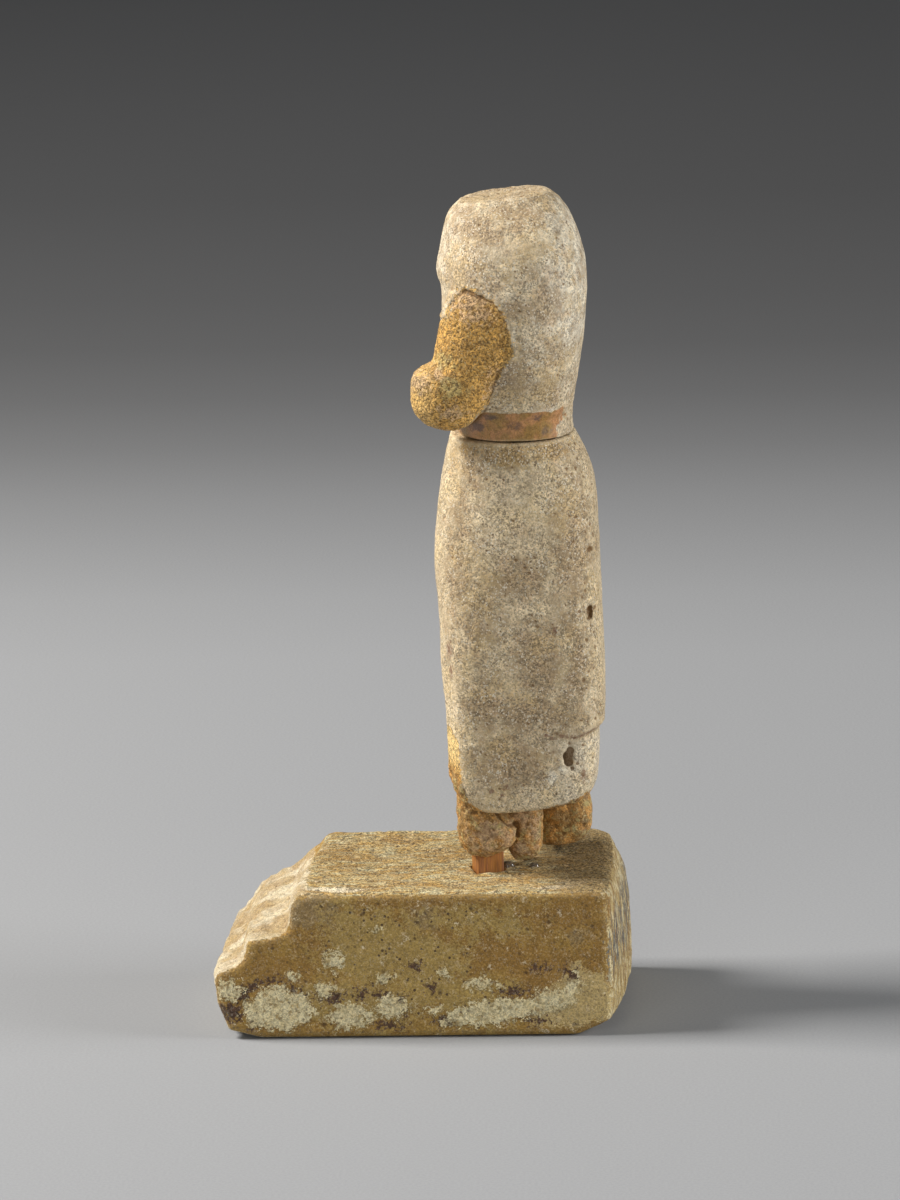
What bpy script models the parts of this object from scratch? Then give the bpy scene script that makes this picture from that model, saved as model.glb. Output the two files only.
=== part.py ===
"""Broken male statuette on its plinth, about 17 cm high.

The figure strides along -Y, so its left side faces +X. The head and the feet are lost. The body was
broken at the waist and set together again, and a squared wooden dowel holds it up on the plinth.

Metres, +Z up. The origin is the middle of the plinth's underside.
"""

import math
from collections import namedtuple

import bmesh
import bpy
from mathutils import Matrix, Vector

# The plinth: a block whose front end has broken away in two steps
PLINTH_LENGTH = 0.0832
PLINTH_WIDTH = 0.0490
PLINTH_HEIGHT = 0.0297
PLINTH_EDGE = 0.0013
PLINTH_BACK_BOW = 0.0012

# The figure, whose proportions are shares of its height from the lowest leg stub to the neck break
FIGURE_HEIGHT = 0.1363
FIGURE_AXIS_TO_BACK_END = 0.0210
FIGURE_STAND_OFF = 0.0005

# The gap left between two pieces that touch
JOINT_GAP = 0.0003

# The dowel: a squared stick turned a little about its length
DOWEL_SIDE = 0.0054
DOWEL_CHAMFER = 0.0003
DOWEL_TURN = math.radians(16)
DOWEL_SET_BACK = 0.0060
DOWEL_IN_LEG = 0.0070
DOWEL_IN_PLINTH = 0.0090

# Fineness of the faceted surfaces
BODY_SIDES = 40
LIMB_SIDES = 20
PIT_SIDES = 14
PIT_RINGS = 8
CUTTER_OVERRUN = 0.004
SOFT_EDGE = math.radians(28)

Station = namedtuple("Station", "height front back half_width squareness")
Lump = namedtuple("Lump", "x y z radius_x radius_y radius_z squareness")
PlinthPoint = namedtuple("PlinthPoint", "along_near along_far up_near up_far")
Finish = namedtuple("Finish", "colour roughness")

PALE_CRUST = Finish((0.46, 0.39, 0.29), 0.75)
BROWN_CORE = Finish((0.27, 0.18, 0.08), 0.85)
DOWEL_WOOD = Finish((0.30, 0.14, 0.055), 0.65)

# Each body and limb is a tube through level stations: height, front and back measured from the
# figure's axis, half width, and squareness (2 for an ellipse, more for a boxier section)
WAIST_JOINT = 0.6456
TORSO = (
    Station(WAIST_JOINT, -0.0880, 0.0822, 0.0990, 2.2),
    Station(0.6698, -0.0902, 0.0792, 0.1000, 2.2),
    Station(0.7117, -0.0968, 0.0862, 0.1150, 2.3),
    Station(0.7600, -0.1013, 0.0948, 0.1325, 2.3),
    Station(0.8202, -0.1064, 0.1020, 0.1423, 2.4),
    Station(0.8613, -0.1064, 0.1045, 0.1409, 2.4),
    Station(0.8880, -0.1130, 0.1042, 0.1365, 2.4),
    Station(0.9193, -0.1079, 0.0983, 0.1275, 2.4),
    Station(0.9457, -0.1025, 0.0902, 0.1130, 2.3),
    Station(0.9700, -0.0945, 0.0795, 0.0890, 2.3),
    Station(0.9883, -0.0770, 0.0675, 0.0620, 2.2),
    Station(1.0147, -0.0540, 0.0535, 0.0330, 2.2),
)
TORSO_RINGS = 27

SKIRT = (
    Station(WAIST_JOINT, -0.0983, 0.0829, 0.0990, 2.2),
    Station(0.6060, -0.1071, 0.1027, 0.1040, 2.4),
    Station(0.5547, -0.1167, 0.1137, 0.1098, 2.6),
    Station(0.4534, -0.1251, 0.1178, 0.1196, 3.1),
    Station(0.3947, -0.1196, 0.1192, 0.1233, 3.5),
    Station(0.2891, -0.1167, 0.1218, 0.1262, 5.0),
    Station(0.2450, -0.1108, 0.1218, 0.1269, 5.6),
    Station(0.1600, -0.1100, 0.1200, 0.1262, 6.0),
    Station(0.1300, -0.1005, 0.1170, 0.1253, 6.0),
    Station(0.1080, -0.0800, 0.1060, 0.1235, 5.0),
    Station(0.0995, -0.0500, 0.0780, 0.1110, 4.0),
    Station(0.0975, -0.0240, 0.0400, 0.0820, 3.4),
)
SKIRT_RINGS = 33
HEM_RISE = 0.110
HEM_TOP = 0.170

# A cutter reaches clear of the body on every side
CLEAR_REACH = 0.3000

# The neck break slopes up towards the back, where its rim is worn down: a place on each, and its slope
NECK_BREAK = Vector((0, 0, 0.9970))
NECK_BREAK_SLOPE = 0.115
NECK_BACK_RIM = Vector((0, 0.0470, 1.0020))
NECK_BACK_SLOPE = -0.75

# The left arm comes down the flank and ends in a fist before the waist; the right arm is plainer
ARM_MIDDLE = 0.0840
LEFT_ARM = (
    Station(0.8800, -0.0740, -0.0560, 0.0160, 2.2),
    Station(0.8700, -0.0920, -0.0150, 0.0430, 2.4),
    Station(0.8420, -0.1038, 0.0080, 0.0560, 2.5),
    Station(0.7980, -0.1125, 0.0160, 0.0600, 2.6),
    Station(0.7680, -0.1195, 0.0030, 0.0600, 2.6),
    Station(0.7610, -0.1240, -0.0030, 0.0600, 2.6),
    Station(0.7540, -0.1400, -0.0095, 0.0600, 2.5),
    Station(0.7400, -0.1515, -0.0180, 0.0600, 2.5),
    Station(0.7080, -0.1525, -0.0355, 0.0565, 2.5),
    Station(0.6850, -0.1425, -0.0525, 0.0490, 2.4),
    Station(0.6710, -0.1210, -0.0690, 0.0350, 2.3),
    Station(0.6650, -0.1020, -0.0850, 0.0150, 2.2),
)
RIGHT_ARM = (
    Station(0.8700, -0.0700, -0.0400, 0.0200, 2.2),
    Station(0.8600, -0.0880, -0.0120, 0.0450, 2.3),
    Station(0.8100, -0.1000, 0.0060, 0.0570, 2.4),
    Station(0.7500, -0.1040, -0.0080, 0.0570, 2.4),
    Station(0.7100, -0.1020, -0.0300, 0.0490, 2.4),
    Station(0.6900, -0.0860, -0.0520, 0.0250, 2.2),
)
ARM_RINGS = 20

# What is left of the legs, each from inside the skirt down to its worn end
LEFT_LEG_MIDDLE = 0.0430
LEFT_LEG = (
    Station(0.1900, -0.0900, 0.0050, 0.0400, 2.8),
    Station(0.1080, -0.0995, -0.0190, 0.0440, 2.8),
    Station(0.0880, -0.0990, -0.0260, 0.0440, 2.8),
    Station(0.0650, -0.0984, -0.0120, 0.0425, 2.8),
    Station(0.0480, -0.0980, -0.0102, 0.0410, 2.8),
    Station(0.0340, -0.0940, -0.0190, 0.0375, 2.7),
    Station(0.0240, -0.0845, -0.0350, 0.0310, 2.5),
    Station(0.0170, -0.0740, -0.0470, 0.0220, 2.4),
)
MIDDLE_STUB_MIDDLE = 0.0120
MIDDLE_STUB = (
    Station(0.1700, -0.0500, 0.0450, 0.0330, 2.8),
    Station(0.0850, -0.0380, 0.0280, 0.0300, 3.2),
    Station(0.0400, -0.0280, 0.0262, 0.0270, 3.4),
    Station(0.0170, -0.0250, 0.0245, 0.0245, 3.2),
    Station(0.0060, -0.0190, 0.0150, 0.0190, 2.6),
    Station(0.0020, -0.0130, 0.0040, 0.0110, 2.2),
)
RIGHT_LEG_MIDDLE = -0.0590
RIGHT_LEG = (
    Station(0.1700, 0.0100, 0.0880, 0.0420, 2.8),
    Station(0.0850, 0.0140, 0.0940, 0.0430, 3.2),
    Station(0.0560, 0.0150, 0.1000, 0.0430, 3.4),
    Station(0.0330, 0.0160, 0.0970, 0.0420, 3.4),
    Station(0.0170, 0.0175, 0.0850, 0.0395, 3.2),
    Station(0.0100, 0.0210, 0.0710, 0.0340, 3.0),
    Station(0.0080, 0.0330, 0.0600, 0.0200, 2.4),
)
LEG_RINGS = 13

# Damage to the skirt: two pits, a thin flake lost round the back of the hem, and the flat that the
# left front corner was worn to
SKIRT_PIT = Lump(0.0930, 0.1030, 0.3947, 0.0080, 0.0066, 0.0110, 2.0)
HEM_NOTCH = Lump(0.1260, 0.0690, 0.1840, 0.0100, 0.0085, 0.0165, 2.0)
FLAKE_FRONT = 0.0420
FLAKE_FRONT_HEIGHT = 0.2060
FLAKE_SLOPE = 0.25
FLAKE_BACK_DEPTH = 0.0085
FLAKE_SIDE_DEPTH = 0.0018
CORNER_FLAT = Vector((0.1215, -0.0905, 0.2000))
CORNER_FLAT_TURN = math.radians(20)
CORNER_FLAT_LEAN = math.radians(1.6)
CORNER_FLAT_SLAB = Vector((0.1840, 0.1150, 0.2300))
CORNER_FLAT_OFFSET = 0.0575

# The plinth seen from the side, round from the back of its underside: shares of its length on the
# near and on the far side, then shares of its height on the two sides
PLINTH_OUTLINE = (
    PlinthPoint(0.372, 0.480, 0.000, 0.000),
    PlinthPoint(-0.390, -0.430, 0.000, 0.000),
    PlinthPoint(-0.466, -0.462, 0.061, 0.061),
    PlinthPoint(-0.490, -0.473, 0.240, 0.240),
    PlinthPoint(-0.500, -0.473, 0.397, 0.390),
    PlinthPoint(-0.493, -0.463, 0.460, 0.445),
    PlinthPoint(-0.448, -0.443, 0.500, 0.492),
    PlinthPoint(-0.425, -0.430, 0.560, 0.535),
    PlinthPoint(-0.416, -0.405, 0.680, 0.640),
    PlinthPoint(-0.368, -0.366, 0.704, 0.717),
    PlinthPoint(-0.325, -0.325, 0.741, 0.761),
    PlinthPoint(-0.317, -0.300, 0.800, 0.820),
    PlinthPoint(-0.313, -0.268, 0.920, 0.912),
    PlinthPoint(-0.300, -0.243, 0.990, 0.988),
    PlinthPoint(-0.285, -0.228, 1.000, 1.000),
    PlinthPoint(0.440, 0.419, 1.000, 1.000),
    PlinthPoint(0.451, 0.448, 0.965, 0.970),
    PlinthPoint(0.454, 0.484, 0.700, 0.750),
    PlinthPoint(0.456, 0.495, 0.438, 0.481),
    PlinthPoint(0.456, 0.500, 0.202, 0.242),
    PlinthPoint(0.450, 0.498, 0.101, 0.074),
)


def figure_axis_y():
    """The figure's axis, set in from the plinth's back end."""
    return PLINTH_LENGTH / 2 - FIGURE_AXIS_TO_BACK_END


def on_figure(x, y, z):
    """A point given in shares of the figure's height, in metres."""
    base = PLINTH_HEIGHT + FIGURE_STAND_OFF
    return Vector((x * FIGURE_HEIGHT, figure_axis_y() + y * FIGURE_HEIGHT, base + z * FIGURE_HEIGHT))


def left_leg_end():
    """The middle of the left leg's worn end, where the dowel goes in."""
    end = LEFT_LEG[-1]
    return on_figure(LEFT_LEG_MIDDLE, (end.front + end.back) / 2 + DOWEL_SET_BACK, end.height)


def signed_power(value, power):
    return math.copysign(abs(value) ** power, value)


def superellipse(centre, half_x, half_y, squareness, sides):
    """A closed level ring."""
    power = 2 / squareness
    ring = []
    for i in range(sides):
        turn = 2 * math.pi * i / sides
        across = half_x * signed_power(math.cos(turn), power)
        along = half_y * signed_power(math.sin(turn), power)
        ring.append(centre + Vector((across, along, 0)))
    return ring


def smooth_between(values, place):
    """Cubic through the values at places 0, 1, 2 and so on, which doesn't overshoot them."""
    steps = [after - before for before, after in zip(values, values[1:])]

    def slope(i):
        if i == 0 or i == len(steps):
            return steps[0] if i == 0 else steps[-1]
        before, after = steps[i - 1], steps[i]
        return 2 * before * after / (before + after) if before * after > 0 else 0

    i = min(int(place), len(steps) - 1)
    t = place - i
    return (
        values[i] * (2 * t**3 - 3 * t**2 + 1)
        + slope(i) * (t**3 - 2 * t**2 + t)
        + values[i + 1] * (3 * t**2 - 2 * t**3)
        + slope(i + 1) * (t**3 - t**2)
    )


def rings_through(stations, count, sides, middle=0.0):
    """Level rings through the stations, about a line at this share to the figure's left."""
    rings = []
    for k in range(count + 1):
        place = k * (len(stations) - 1) / count
        now = Station(*(smooth_between(column, place) for column in zip(*stations)))
        rings.append(superellipse(
            on_figure(middle, (now.front + now.back) / 2, now.height),
            now.half_width * FIGURE_HEIGHT,
            (now.back - now.front) / 2 * FIGURE_HEIGHT,
            now.squareness,
            sides,
        ))
    return rings


def skin(name, rings):
    """A closed mesh over rings of equal count, each end filled with a fan."""
    mesh = bmesh.new()
    loops = [[mesh.verts.new(point) for point in ring] for ring in rings]
    sides = len(rings[0])
    for lower, upper in zip(loops, loops[1:]):
        for i in range(sides):
            after = (i + 1) % sides
            mesh.faces.new((lower[i], lower[after], upper[after], upper[i]))
    for loop in (loops[0], loops[-1]):
        middle = mesh.verts.new(sum((v.co for v in loop), Vector()) / sides)
        for i in range(sides):
            mesh.faces.new((loop[i], loop[(i + 1) % sides], middle))
    bmesh.ops.recalc_face_normals(mesh, faces=mesh.faces)
    return finished(name, mesh)


def finished(name, mesh):
    """The bmesh as a scene object."""
    data = bpy.data.meshes.new(name)
    mesh.to_mesh(data)
    mesh.free()
    made = bpy.data.objects.new(name, data)
    bpy.context.scene.collection.objects.link(made)
    return made


def lump(name, shape):
    """A rounded lump: a ball at squareness 2, boxier above it."""
    power = 2 / shape.squareness
    rings = []
    for k in range(1, PIT_RINGS):
        tilt = math.pi * (k / PIT_RINGS - 0.5)
        level = shape.z + shape.radius_z * signed_power(math.sin(tilt), power)
        reach = math.cos(tilt) ** power * FIGURE_HEIGHT
        rings.append(superellipse(
            on_figure(shape.x, shape.y, level),
            shape.radius_x * reach,
            shape.radius_y * reach,
            shape.squareness,
            PIT_SIDES,
        ))
    return skin(name, rings)


def box_between(name, low, high, turn=0.0, lean=0.0, chamfer=0.0):
    """A box turned about its upright axis and leant about its width, its long edges chamfered."""
    mesh = bmesh.new()
    size = [b - a for a, b in zip(low, high)]
    bmesh.ops.create_cube(mesh, size=1, matrix=Matrix.Diagonal((*size, 1)))
    if chamfer:
        upright = [e for e in mesh.edges if abs(e.verts[0].co.z - e.verts[1].co.z) > size[2] / 2]
        bmesh.ops.bevel(mesh, geom=upright, offset=chamfer, segments=2, affect="EDGES", profile=0.5)
    middle = Vector([(a + b) / 2 for a, b in zip(low, high)])
    turned = Matrix.Rotation(turn, 4, "Z") @ Matrix.Rotation(lean, 4, "X")
    mesh.transform(Matrix.Translation(middle) @ turned)
    return finished(name, mesh)


def combine(body, other, operation):
    """Joins the other shape to the body, or cuts it away, and removes it."""
    modifier = body.modifiers.new(operation.title(), "BOOLEAN")
    modifier.operation = operation
    modifier.solver = "EXACT"
    modifier.object = other
    bpy.context.view_layer.update()
    graph = bpy.context.evaluated_depsgraph_get()
    merged = bpy.data.meshes.new_from_object(body.evaluated_get(graph))
    body.modifiers.clear()
    body.data = merged
    bpy.data.objects.remove(other)


def dowel_shape(name, low_z, high_z, clearance=0.0):
    """The dowel's own shape, or its socket when a clearance is given."""
    half = DOWEL_SIDE / 2 + clearance
    centre = left_leg_end()
    low = (centre.x - half, centre.y - half, low_z)
    high = (centre.x + half, centre.y + half, high_z)
    return box_between(name, low, high, turn=DOWEL_TURN, chamfer=DOWEL_CHAMFER)


def torso():
    """Upper fragment: both arms close to the body, and the head broken off at the neck."""
    rings = rings_through(TORSO, TORSO_RINGS, BODY_SIDES)
    for point in rings[0]:
        point.z += JOINT_GAP
    body = skin("torso", rings)
    for stations, middle in ((LEFT_ARM, ARM_MIDDLE), (RIGHT_ARM, -ARM_MIDDLE)):
        arm = skin("arm", rings_through(stations, ARM_RINGS, LIMB_SIDES, middle))
        combine(body, arm, "UNION")
    for place, slope in ((NECK_BREAK, NECK_BREAK_SLOPE), (NECK_BACK_RIM, NECK_BACK_SLOPE)):
        combine(body, block_above(place, slope), "DIFFERENCE")
    return body


def block_above(place, slope):
    """A block whose underside passes through the place and slopes from front to back."""
    half = Vector((1, 1, 1)) * CLEAR_REACH * FIGURE_HEIGHT
    lean = math.atan(slope)
    middle = on_figure(*place) + Matrix.Rotation(lean, 3, "X") @ Vector((0, 0, half.z))
    return box_between("block", middle - half, middle + half, lean=lean)


def skirt_rings(side_inset=0.0, back_inset=0.0):
    """The skirt's rings, whose hem hangs lowest in front and rises towards the back."""
    stations = [
        s._replace(back=s.back - back_inset, half_width=s.half_width - side_inset) for s in SKIRT
    ]
    rings = rings_through(stations, SKIRT_RINGS, BODY_SIDES)
    top = on_figure(0, 0, HEM_TOP).z
    depth = top - on_figure(0, 0, SKIRT[-1].height).z
    for ring in rings:
        for point in ring:
            if point.z < top:
                point.z += HEM_RISE * (point.y - figure_axis_y()) * min(1, (top - point.z) / depth)
    return rings


def hem_flake():
    """The thin flake lost from the back of the hem: what lies there outside a smaller skirt."""
    low = on_figure(-CLEAR_REACH / 2, FLAKE_FRONT, 0)
    high = on_figure(CLEAR_REACH / 2, CLEAR_REACH / 2, CLEAR_REACH)
    flake = box_between("flake", low, high)
    edge = Vector((0, FLAKE_FRONT, FLAKE_FRONT_HEIGHT))
    combine(flake, block_above(edge, FLAKE_SLOPE), "DIFFERENCE")
    smaller = skin("smaller_skirt", skirt_rings(FLAKE_SIDE_DEPTH, FLAKE_BACK_DEPTH))
    combine(flake, smaller, "DIFFERENCE")
    return flake


def corner_flat_cutter():
    """The slab outside the flat at the skirt's left front corner, leaning off the body at its top."""
    half = CORNER_FLAT_SLAB * FIGURE_HEIGHT
    turn = Matrix.Rotation(CORNER_FLAT_TURN, 3, "Z")
    outward = turn @ Vector((CORNER_FLAT_OFFSET * FIGURE_HEIGHT, half.y, 0))
    middle = on_figure(*CORNER_FLAT) - outward
    return box_between(
        "corner_flat", middle - half, middle + half, CORNER_FLAT_TURN, CORNER_FLAT_LEAN
    )


def skirt_and_legs():
    """Lower fragment: the long skirt, its damage, and the three stubs left of the legs."""
    body = skin("skirt_and_legs", skirt_rings())
    combine(body, hem_flake(), "DIFFERENCE")
    combine(body, corner_flat_cutter(), "DIFFERENCE")
    for stations, middle in (
        (LEFT_LEG, LEFT_LEG_MIDDLE),
        (MIDDLE_STUB, MIDDLE_STUB_MIDDLE),
        (RIGHT_LEG, RIGHT_LEG_MIDDLE),
    ):
        leg = skin("leg", rings_through(stations, LEG_RINGS, LIMB_SIDES, middle))
        combine(body, leg, "UNION")
    for pit in (SKIRT_PIT, HEM_NOTCH):
        combine(body, lump("pit", pit), "DIFFERENCE")
    low = left_leg_end().z - CUTTER_OVERRUN
    high = left_leg_end().z + DOWEL_IN_LEG + JOINT_GAP
    combine(body, dowel_shape("socket", low, high, JOINT_GAP), "DIFFERENCE")
    return body


def dowel():
    """The squared stick between the left leg and the plinth."""
    return dowel_shape("dowel", PLINTH_HEIGHT - DOWEL_IN_PLINTH, left_leg_end().z + DOWEL_IN_LEG)


def plinth():
    """The block, lofted from its near side to its far side, its edges rounded and its back bowed."""
    half = PLINTH_WIDTH / 2
    rounding = ((0.0, 1.0), (0.42, 0.28), (1.0, 0.0))
    places = [(half - PLINTH_EDGE * depth, PLINTH_EDGE * inset) for depth, inset in rounding]
    places += [(half * share, 0.0) for share in (0.5, 0.0, -0.5)]
    places += [(-x, inset) for x, inset in reversed(places[:len(rounding)])]
    middle = Vector((0, PLINTH_HEIGHT / 2))
    rings = []
    for x, inset in places:
        far = 0.5 - x / PLINTH_WIDTH
        ring = []
        for point in PLINTH_OUTLINE:
            along = point.along_near * (1 - far) + point.along_far * far
            up = point.up_near * (1 - far) + point.up_far * far
            if along > 0.4:
                along += PLINTH_BACK_BOW / PLINTH_LENGTH * (1 - (x / half) ** 2)
            flat = Vector((along * PLINTH_LENGTH, up * PLINTH_HEIGHT))
            inward = (middle - flat).normalized() * inset
            ring.append(Vector((x, flat.x + inward.x, flat.y + inward.y)))
        rings.append(ring)
    body = skin("plinth", rings)
    low = PLINTH_HEIGHT - DOWEL_IN_PLINTH - JOINT_GAP
    high = PLINTH_HEIGHT + CUTTER_OVERRUN
    combine(body, dowel_shape("socket", low, high, JOINT_GAP), "DIFFERENCE")
    return body


def paint(piece, finish):
    """Gives the piece its own plain material and shades it smooth over soft edges."""
    material = bpy.data.materials.new(piece.name)
    material.use_nodes = True
    shader = material.node_tree.nodes["Principled BSDF"]
    shader.inputs["Base Color"].default_value = (*finish.colour, 1)
    shader.inputs["Roughness"].default_value = finish.roughness
    shader.inputs["Metallic"].default_value = 0
    piece.data.materials.clear()
    piece.data.materials.append(material)
    piece.data.shade_smooth()
    piece.data.set_sharp_from_angle(angle=SOFT_EDGE)


def main():
    for old in list(bpy.data.objects):
        bpy.data.objects.remove(old)
    paint(plinth(), BROWN_CORE)
    paint(dowel(), DOWEL_WOOD)
    paint(skirt_and_legs(), PALE_CRUST)
    paint(torso(), PALE_CRUST)


main()
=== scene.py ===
"""Dresses the broken statuette and its plinth: worn stone, bare core, wood and glue, and the studio.

Laid out as an add-on and run as a script. Sizes in the settings are in metres. Places on the
surfaces are worked out in millimetres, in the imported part's own frame: the figure faces -Y, its left
side and the camera are on the +X side, and the plinth stands on the ground at Z 0.
"""

import math

import bmesh
import bpy
import numpy as np
from bpy.props import FloatProperty, FloatVectorProperty, PointerProperty
from bpy.types import Operator, Panel, PropertyGroup
from mathutils import Matrix, Vector


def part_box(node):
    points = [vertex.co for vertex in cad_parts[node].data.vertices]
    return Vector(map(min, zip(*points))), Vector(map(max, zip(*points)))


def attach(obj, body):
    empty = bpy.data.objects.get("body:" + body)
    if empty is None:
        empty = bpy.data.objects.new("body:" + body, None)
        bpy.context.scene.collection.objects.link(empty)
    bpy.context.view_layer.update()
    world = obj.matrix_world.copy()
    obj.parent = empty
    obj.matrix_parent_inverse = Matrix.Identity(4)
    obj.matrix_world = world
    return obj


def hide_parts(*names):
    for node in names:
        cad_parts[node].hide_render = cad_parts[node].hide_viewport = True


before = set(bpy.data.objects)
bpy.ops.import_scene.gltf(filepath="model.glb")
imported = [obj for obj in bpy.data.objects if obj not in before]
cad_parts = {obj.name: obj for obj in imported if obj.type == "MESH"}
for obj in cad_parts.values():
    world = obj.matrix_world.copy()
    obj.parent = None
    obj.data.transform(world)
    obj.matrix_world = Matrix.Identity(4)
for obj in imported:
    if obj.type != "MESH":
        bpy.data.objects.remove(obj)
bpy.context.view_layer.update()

bl_info = {
    "name": "Broken Statuette on Plinth",
    "version": (1, 0, 0),
    "blender": (4, 5, 0),
    "location": "3D View > Sidebar > Statuette",
    "description": "Worn stone figure, dowel and plinth with their studio",
    "category": "Add Mesh",
}

MM = 0.001
BODY = "root"
WAIST_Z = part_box("torso")[0].z / MM
PLINTH_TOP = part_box("plinth")[1].z / MM

# Outlines of worn places in the view from the figure's left: millimetres along Y, then up
BARE_ARM = (
    (11.7, 122.4), (13.7, 124.8), (15.5, 127.3), (16.5, 129.7), (17.2, 131.7), (18.8, 134.7),
    (20.6, 137.2), (20.1, 140.6), (19.5, 143.2), (18.4, 145.8), (17.1, 147.6), (14.2, 149.2),
    (11.3, 149.8), (9.4, 149), (8.3, 146.8), (7.4, 144.2), (5, 142.8), (-5, 142.4),
    (-6, 118), (9.6, 120), (10.6, 121.2),
)
PALE_BAND = (
    (4, 3), (6.4, 6), (12.6, 7.8), (19.6, 7.9), (27.6, 9.8), (31, 12.8), (31.9, 10.5),
    (30.9, 7.4), (27.5, 5.4), (21.5, 4.2), (15.5, 2.6), (9.5, 2),
)
YELLOW_CORNER = (
    (21.5, 2.2), (25.2, 9), (30.6, 15.1), (33.5, 13.5), (38, 11.5), (39.5, 4.3), (30.4, 1.5),
)

# Lines in that view, and how far each reaches to its sides
LEG_CRACK = ((14.6, 43.4), (16.3, 41.2), (17.7, 39.7), (19.3, 38.7), (19.2, 36.2))
FLAKE_EDGE = ((25.2, 60), (27, 59.3), (28.8, 59.8), (31.2, 59.2), (33.2, 59.9), (36, 61))
STAIN_TRAIL = (
    (-38.6, 4.6), (-36.8, 6.8), (-35.4, 9.2), (-33, 11.4), (-29.5, 12.2), (-26.3, 10.6), (-23, 8.6),
)

# The neck break in that view: two slopes, each through a place along Y and up, and its rise
NECK_BREAK = (20.6, 166.1, 0.115)
NECK_BACK_RIM = (27.0, 166.8, -0.75)

# Edges in that view that are rounder than the solid's: middle and spread along Y, then up
ELBOW_EDGE = (16.5, 2.5, 130.5, 3.5)
NECK_RIM_EDGE = (27.2, 1.8, 166.4, 1.6)

# The flake's upright edge, rounder too: middle and spread along Y, and the height below which it is
FLAKE_SIDE_EDGE = (26, 1.6)
FLAKE_TOP = 60.5

# Share of the way to its neighbours' mean that a point on such an edge moves in each round
SOFTENING = 0.6

# The bare arm: the height where its inner edge lies deepest, and where its upper end grows rough
ELBOW_Z = 131
UPPER_ARM = (140, 147)

# The smooth band round the waist: its height over the joint, and where it ends at the back
BAND_HEIGHT = 5.9
BAND_BACK_Y = 28.4

# The bare strip down the skirt's front: heights, how far back it reaches there, and its top
STRIP_HEIGHTS = (46, 50, 60, 78)
STRIP_BACK_Y = (9.4, 8.5, 8.0, 7.0)
STRIP_TOP = 62.5
STRIP_MIDDLE_X = 5.5
STRIP_HALF_WIDTH = 11.5

# The plinth: its steps lie before this Y, and its near face from these X on
STEPS_Y = -22.0
NEAR_SIDE_X = 15
NEAR_FACE_X = (18, 21)

# The skirt's lower edge in that view: along Y, and its height there
HEM_ALONG = (7, 8.8, 9.6, 11.2, 13.5, 16.5, 22, 26, 31, 34, 37)
HEM_HEIGHT = (52.5, 49.3, 46.8, 45.1, 43.9, 43.6, 44, 45, 46.7, 48, 49)

# Round patches in that view: along Y, up, half length, half height
PALE_PATCHES = (
    (-28.6, 6.2, 7.2, 4.6), (-38.2, 10, 2.4, 2.1), (-17.3, 16, 1.7, 1.8), (-19.4, 10.2, 1.7, 1.3),
    (-7.4, 12.2, 1.4, 1), (11.9, 11.1, 2.4, 1.1), (4.4, 12.9, 0.8, 0.7), (-25.5, 13, 1.2, 0.9),
    (2.4, 5.2, 1.4, 0.8), (-8.6, 22.7, 0.9, 0.6), (-14.4, 4.6, 4.2, 2.8), (-6.2, 6.4, 3.4, 2.4),
)
DARK_STAINS = (
    (-38.1, 5.6, 2.6, 1.8), (-35.2, 9.3, 0.9, 1.3), (-17.9, 8.5, 2.3, 1), (-12.5, 8.9, 1.5, 0.8),
    (-8.5, 8.8, 1.2, 0.6), (-4, 6.2, 1, 2), (-7, 2.6, 2.4, 0.7), (4, 3.4, 1.6, 0.8),
    (18.2, 9.3, 2.2, 0.9), (30.2, 12.6, 0.9, 1.1), (-33.6, 3.4, 0.8, 1.6), (22.5, 3.2, 1.6, 0.5),
    (-1.2, 14.6, 0.9, 0.7), (2, 10.4, 0.7, 0.9), (24, 14.4, 1.2, 0.5), (29, 13.6, 0.8, 0.6),
)
RUSTY_STAINS = (
    (-21.9, 20.8, 3, 2.4), (27.6, 12.5, 7, 5.5), (16, 17.5, 9, 4), (26, 24, 7, 3),
    (-31, 15, 5, 2.2), (8, 27.3, 5, 1.4), (-6, 27.5, 7, 1.2), (34.5, 17, 2, 8),
)
GREY_STREAKS_Z = 18.0
GREYED_FACE = ((-20.5, 26, 6, 3), (1, 24, 3, 3), (31.5, 20.5, 1.4, 1.8))
DOTTED_FACE = (
    (-9, 18.5, 11, 7.5), (1.5, 14, 8, 8), (-14, 25, 5, 2.5), (-12, 7.5, 14, 5),
    (10, 7, 9, 5), (12, 24, 9, 3),
)
CREAM_TOP = ((-17.8, 20.5, 5.4, 1.5), (26.5, 20.6, 4, 1.2), (31, 17, 3.5, 1))
# Soil on the torso; the last patch, beside the lower end of the bare arm, is grey soil darkened further
# as painted shadow of the arm
TORSO_SOIL_AND_SHADE = (
    (11.5, 152.6, 4.6, 3.6), (15, 160.5, 4.5, 3), (26.6, 129.4, 3.6, 4.2), (27.3, 165.6, 4, 1.8),
    (21.5, 137, 1.4, 2), (28.5, 137, 2.4, 4.2), (24.5, 126.4, 4, 1.4), (20.5, 145.5, 3.4, 2.4),
    (27, 147, 3, 5), (12, 161, 4, 3), (22, 163, 6, 2.2), (20, 131.5, 4.5, 5.5),
)
SKIRT_SOIL = (
    (31.3, 97, 3.6, 14), (9.3, 93, 2.4, 12), (20.5, 91, 5.5, 3.4), (24.5, 76, 5, 7.5),
    (21, 64.5, 6.6, 3.2), (10.9, 112.8, 3, 3.4), (31.5, 72, 2.6, 9), (13.5, 66, 3, 5),
    (13, 84, 3, 8), (27.5, 64, 7, 3.6), (18, 54.5, 8, 5),
)
TAN_BELOW_WAIST = (
    (19, 115.8, 4.6, 2.6), (15.4, 117.2, 2, 1.4), (27.4, 116.4, 3.2, 2.2), (11.5, 117, 2.2, 1),
)
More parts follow.
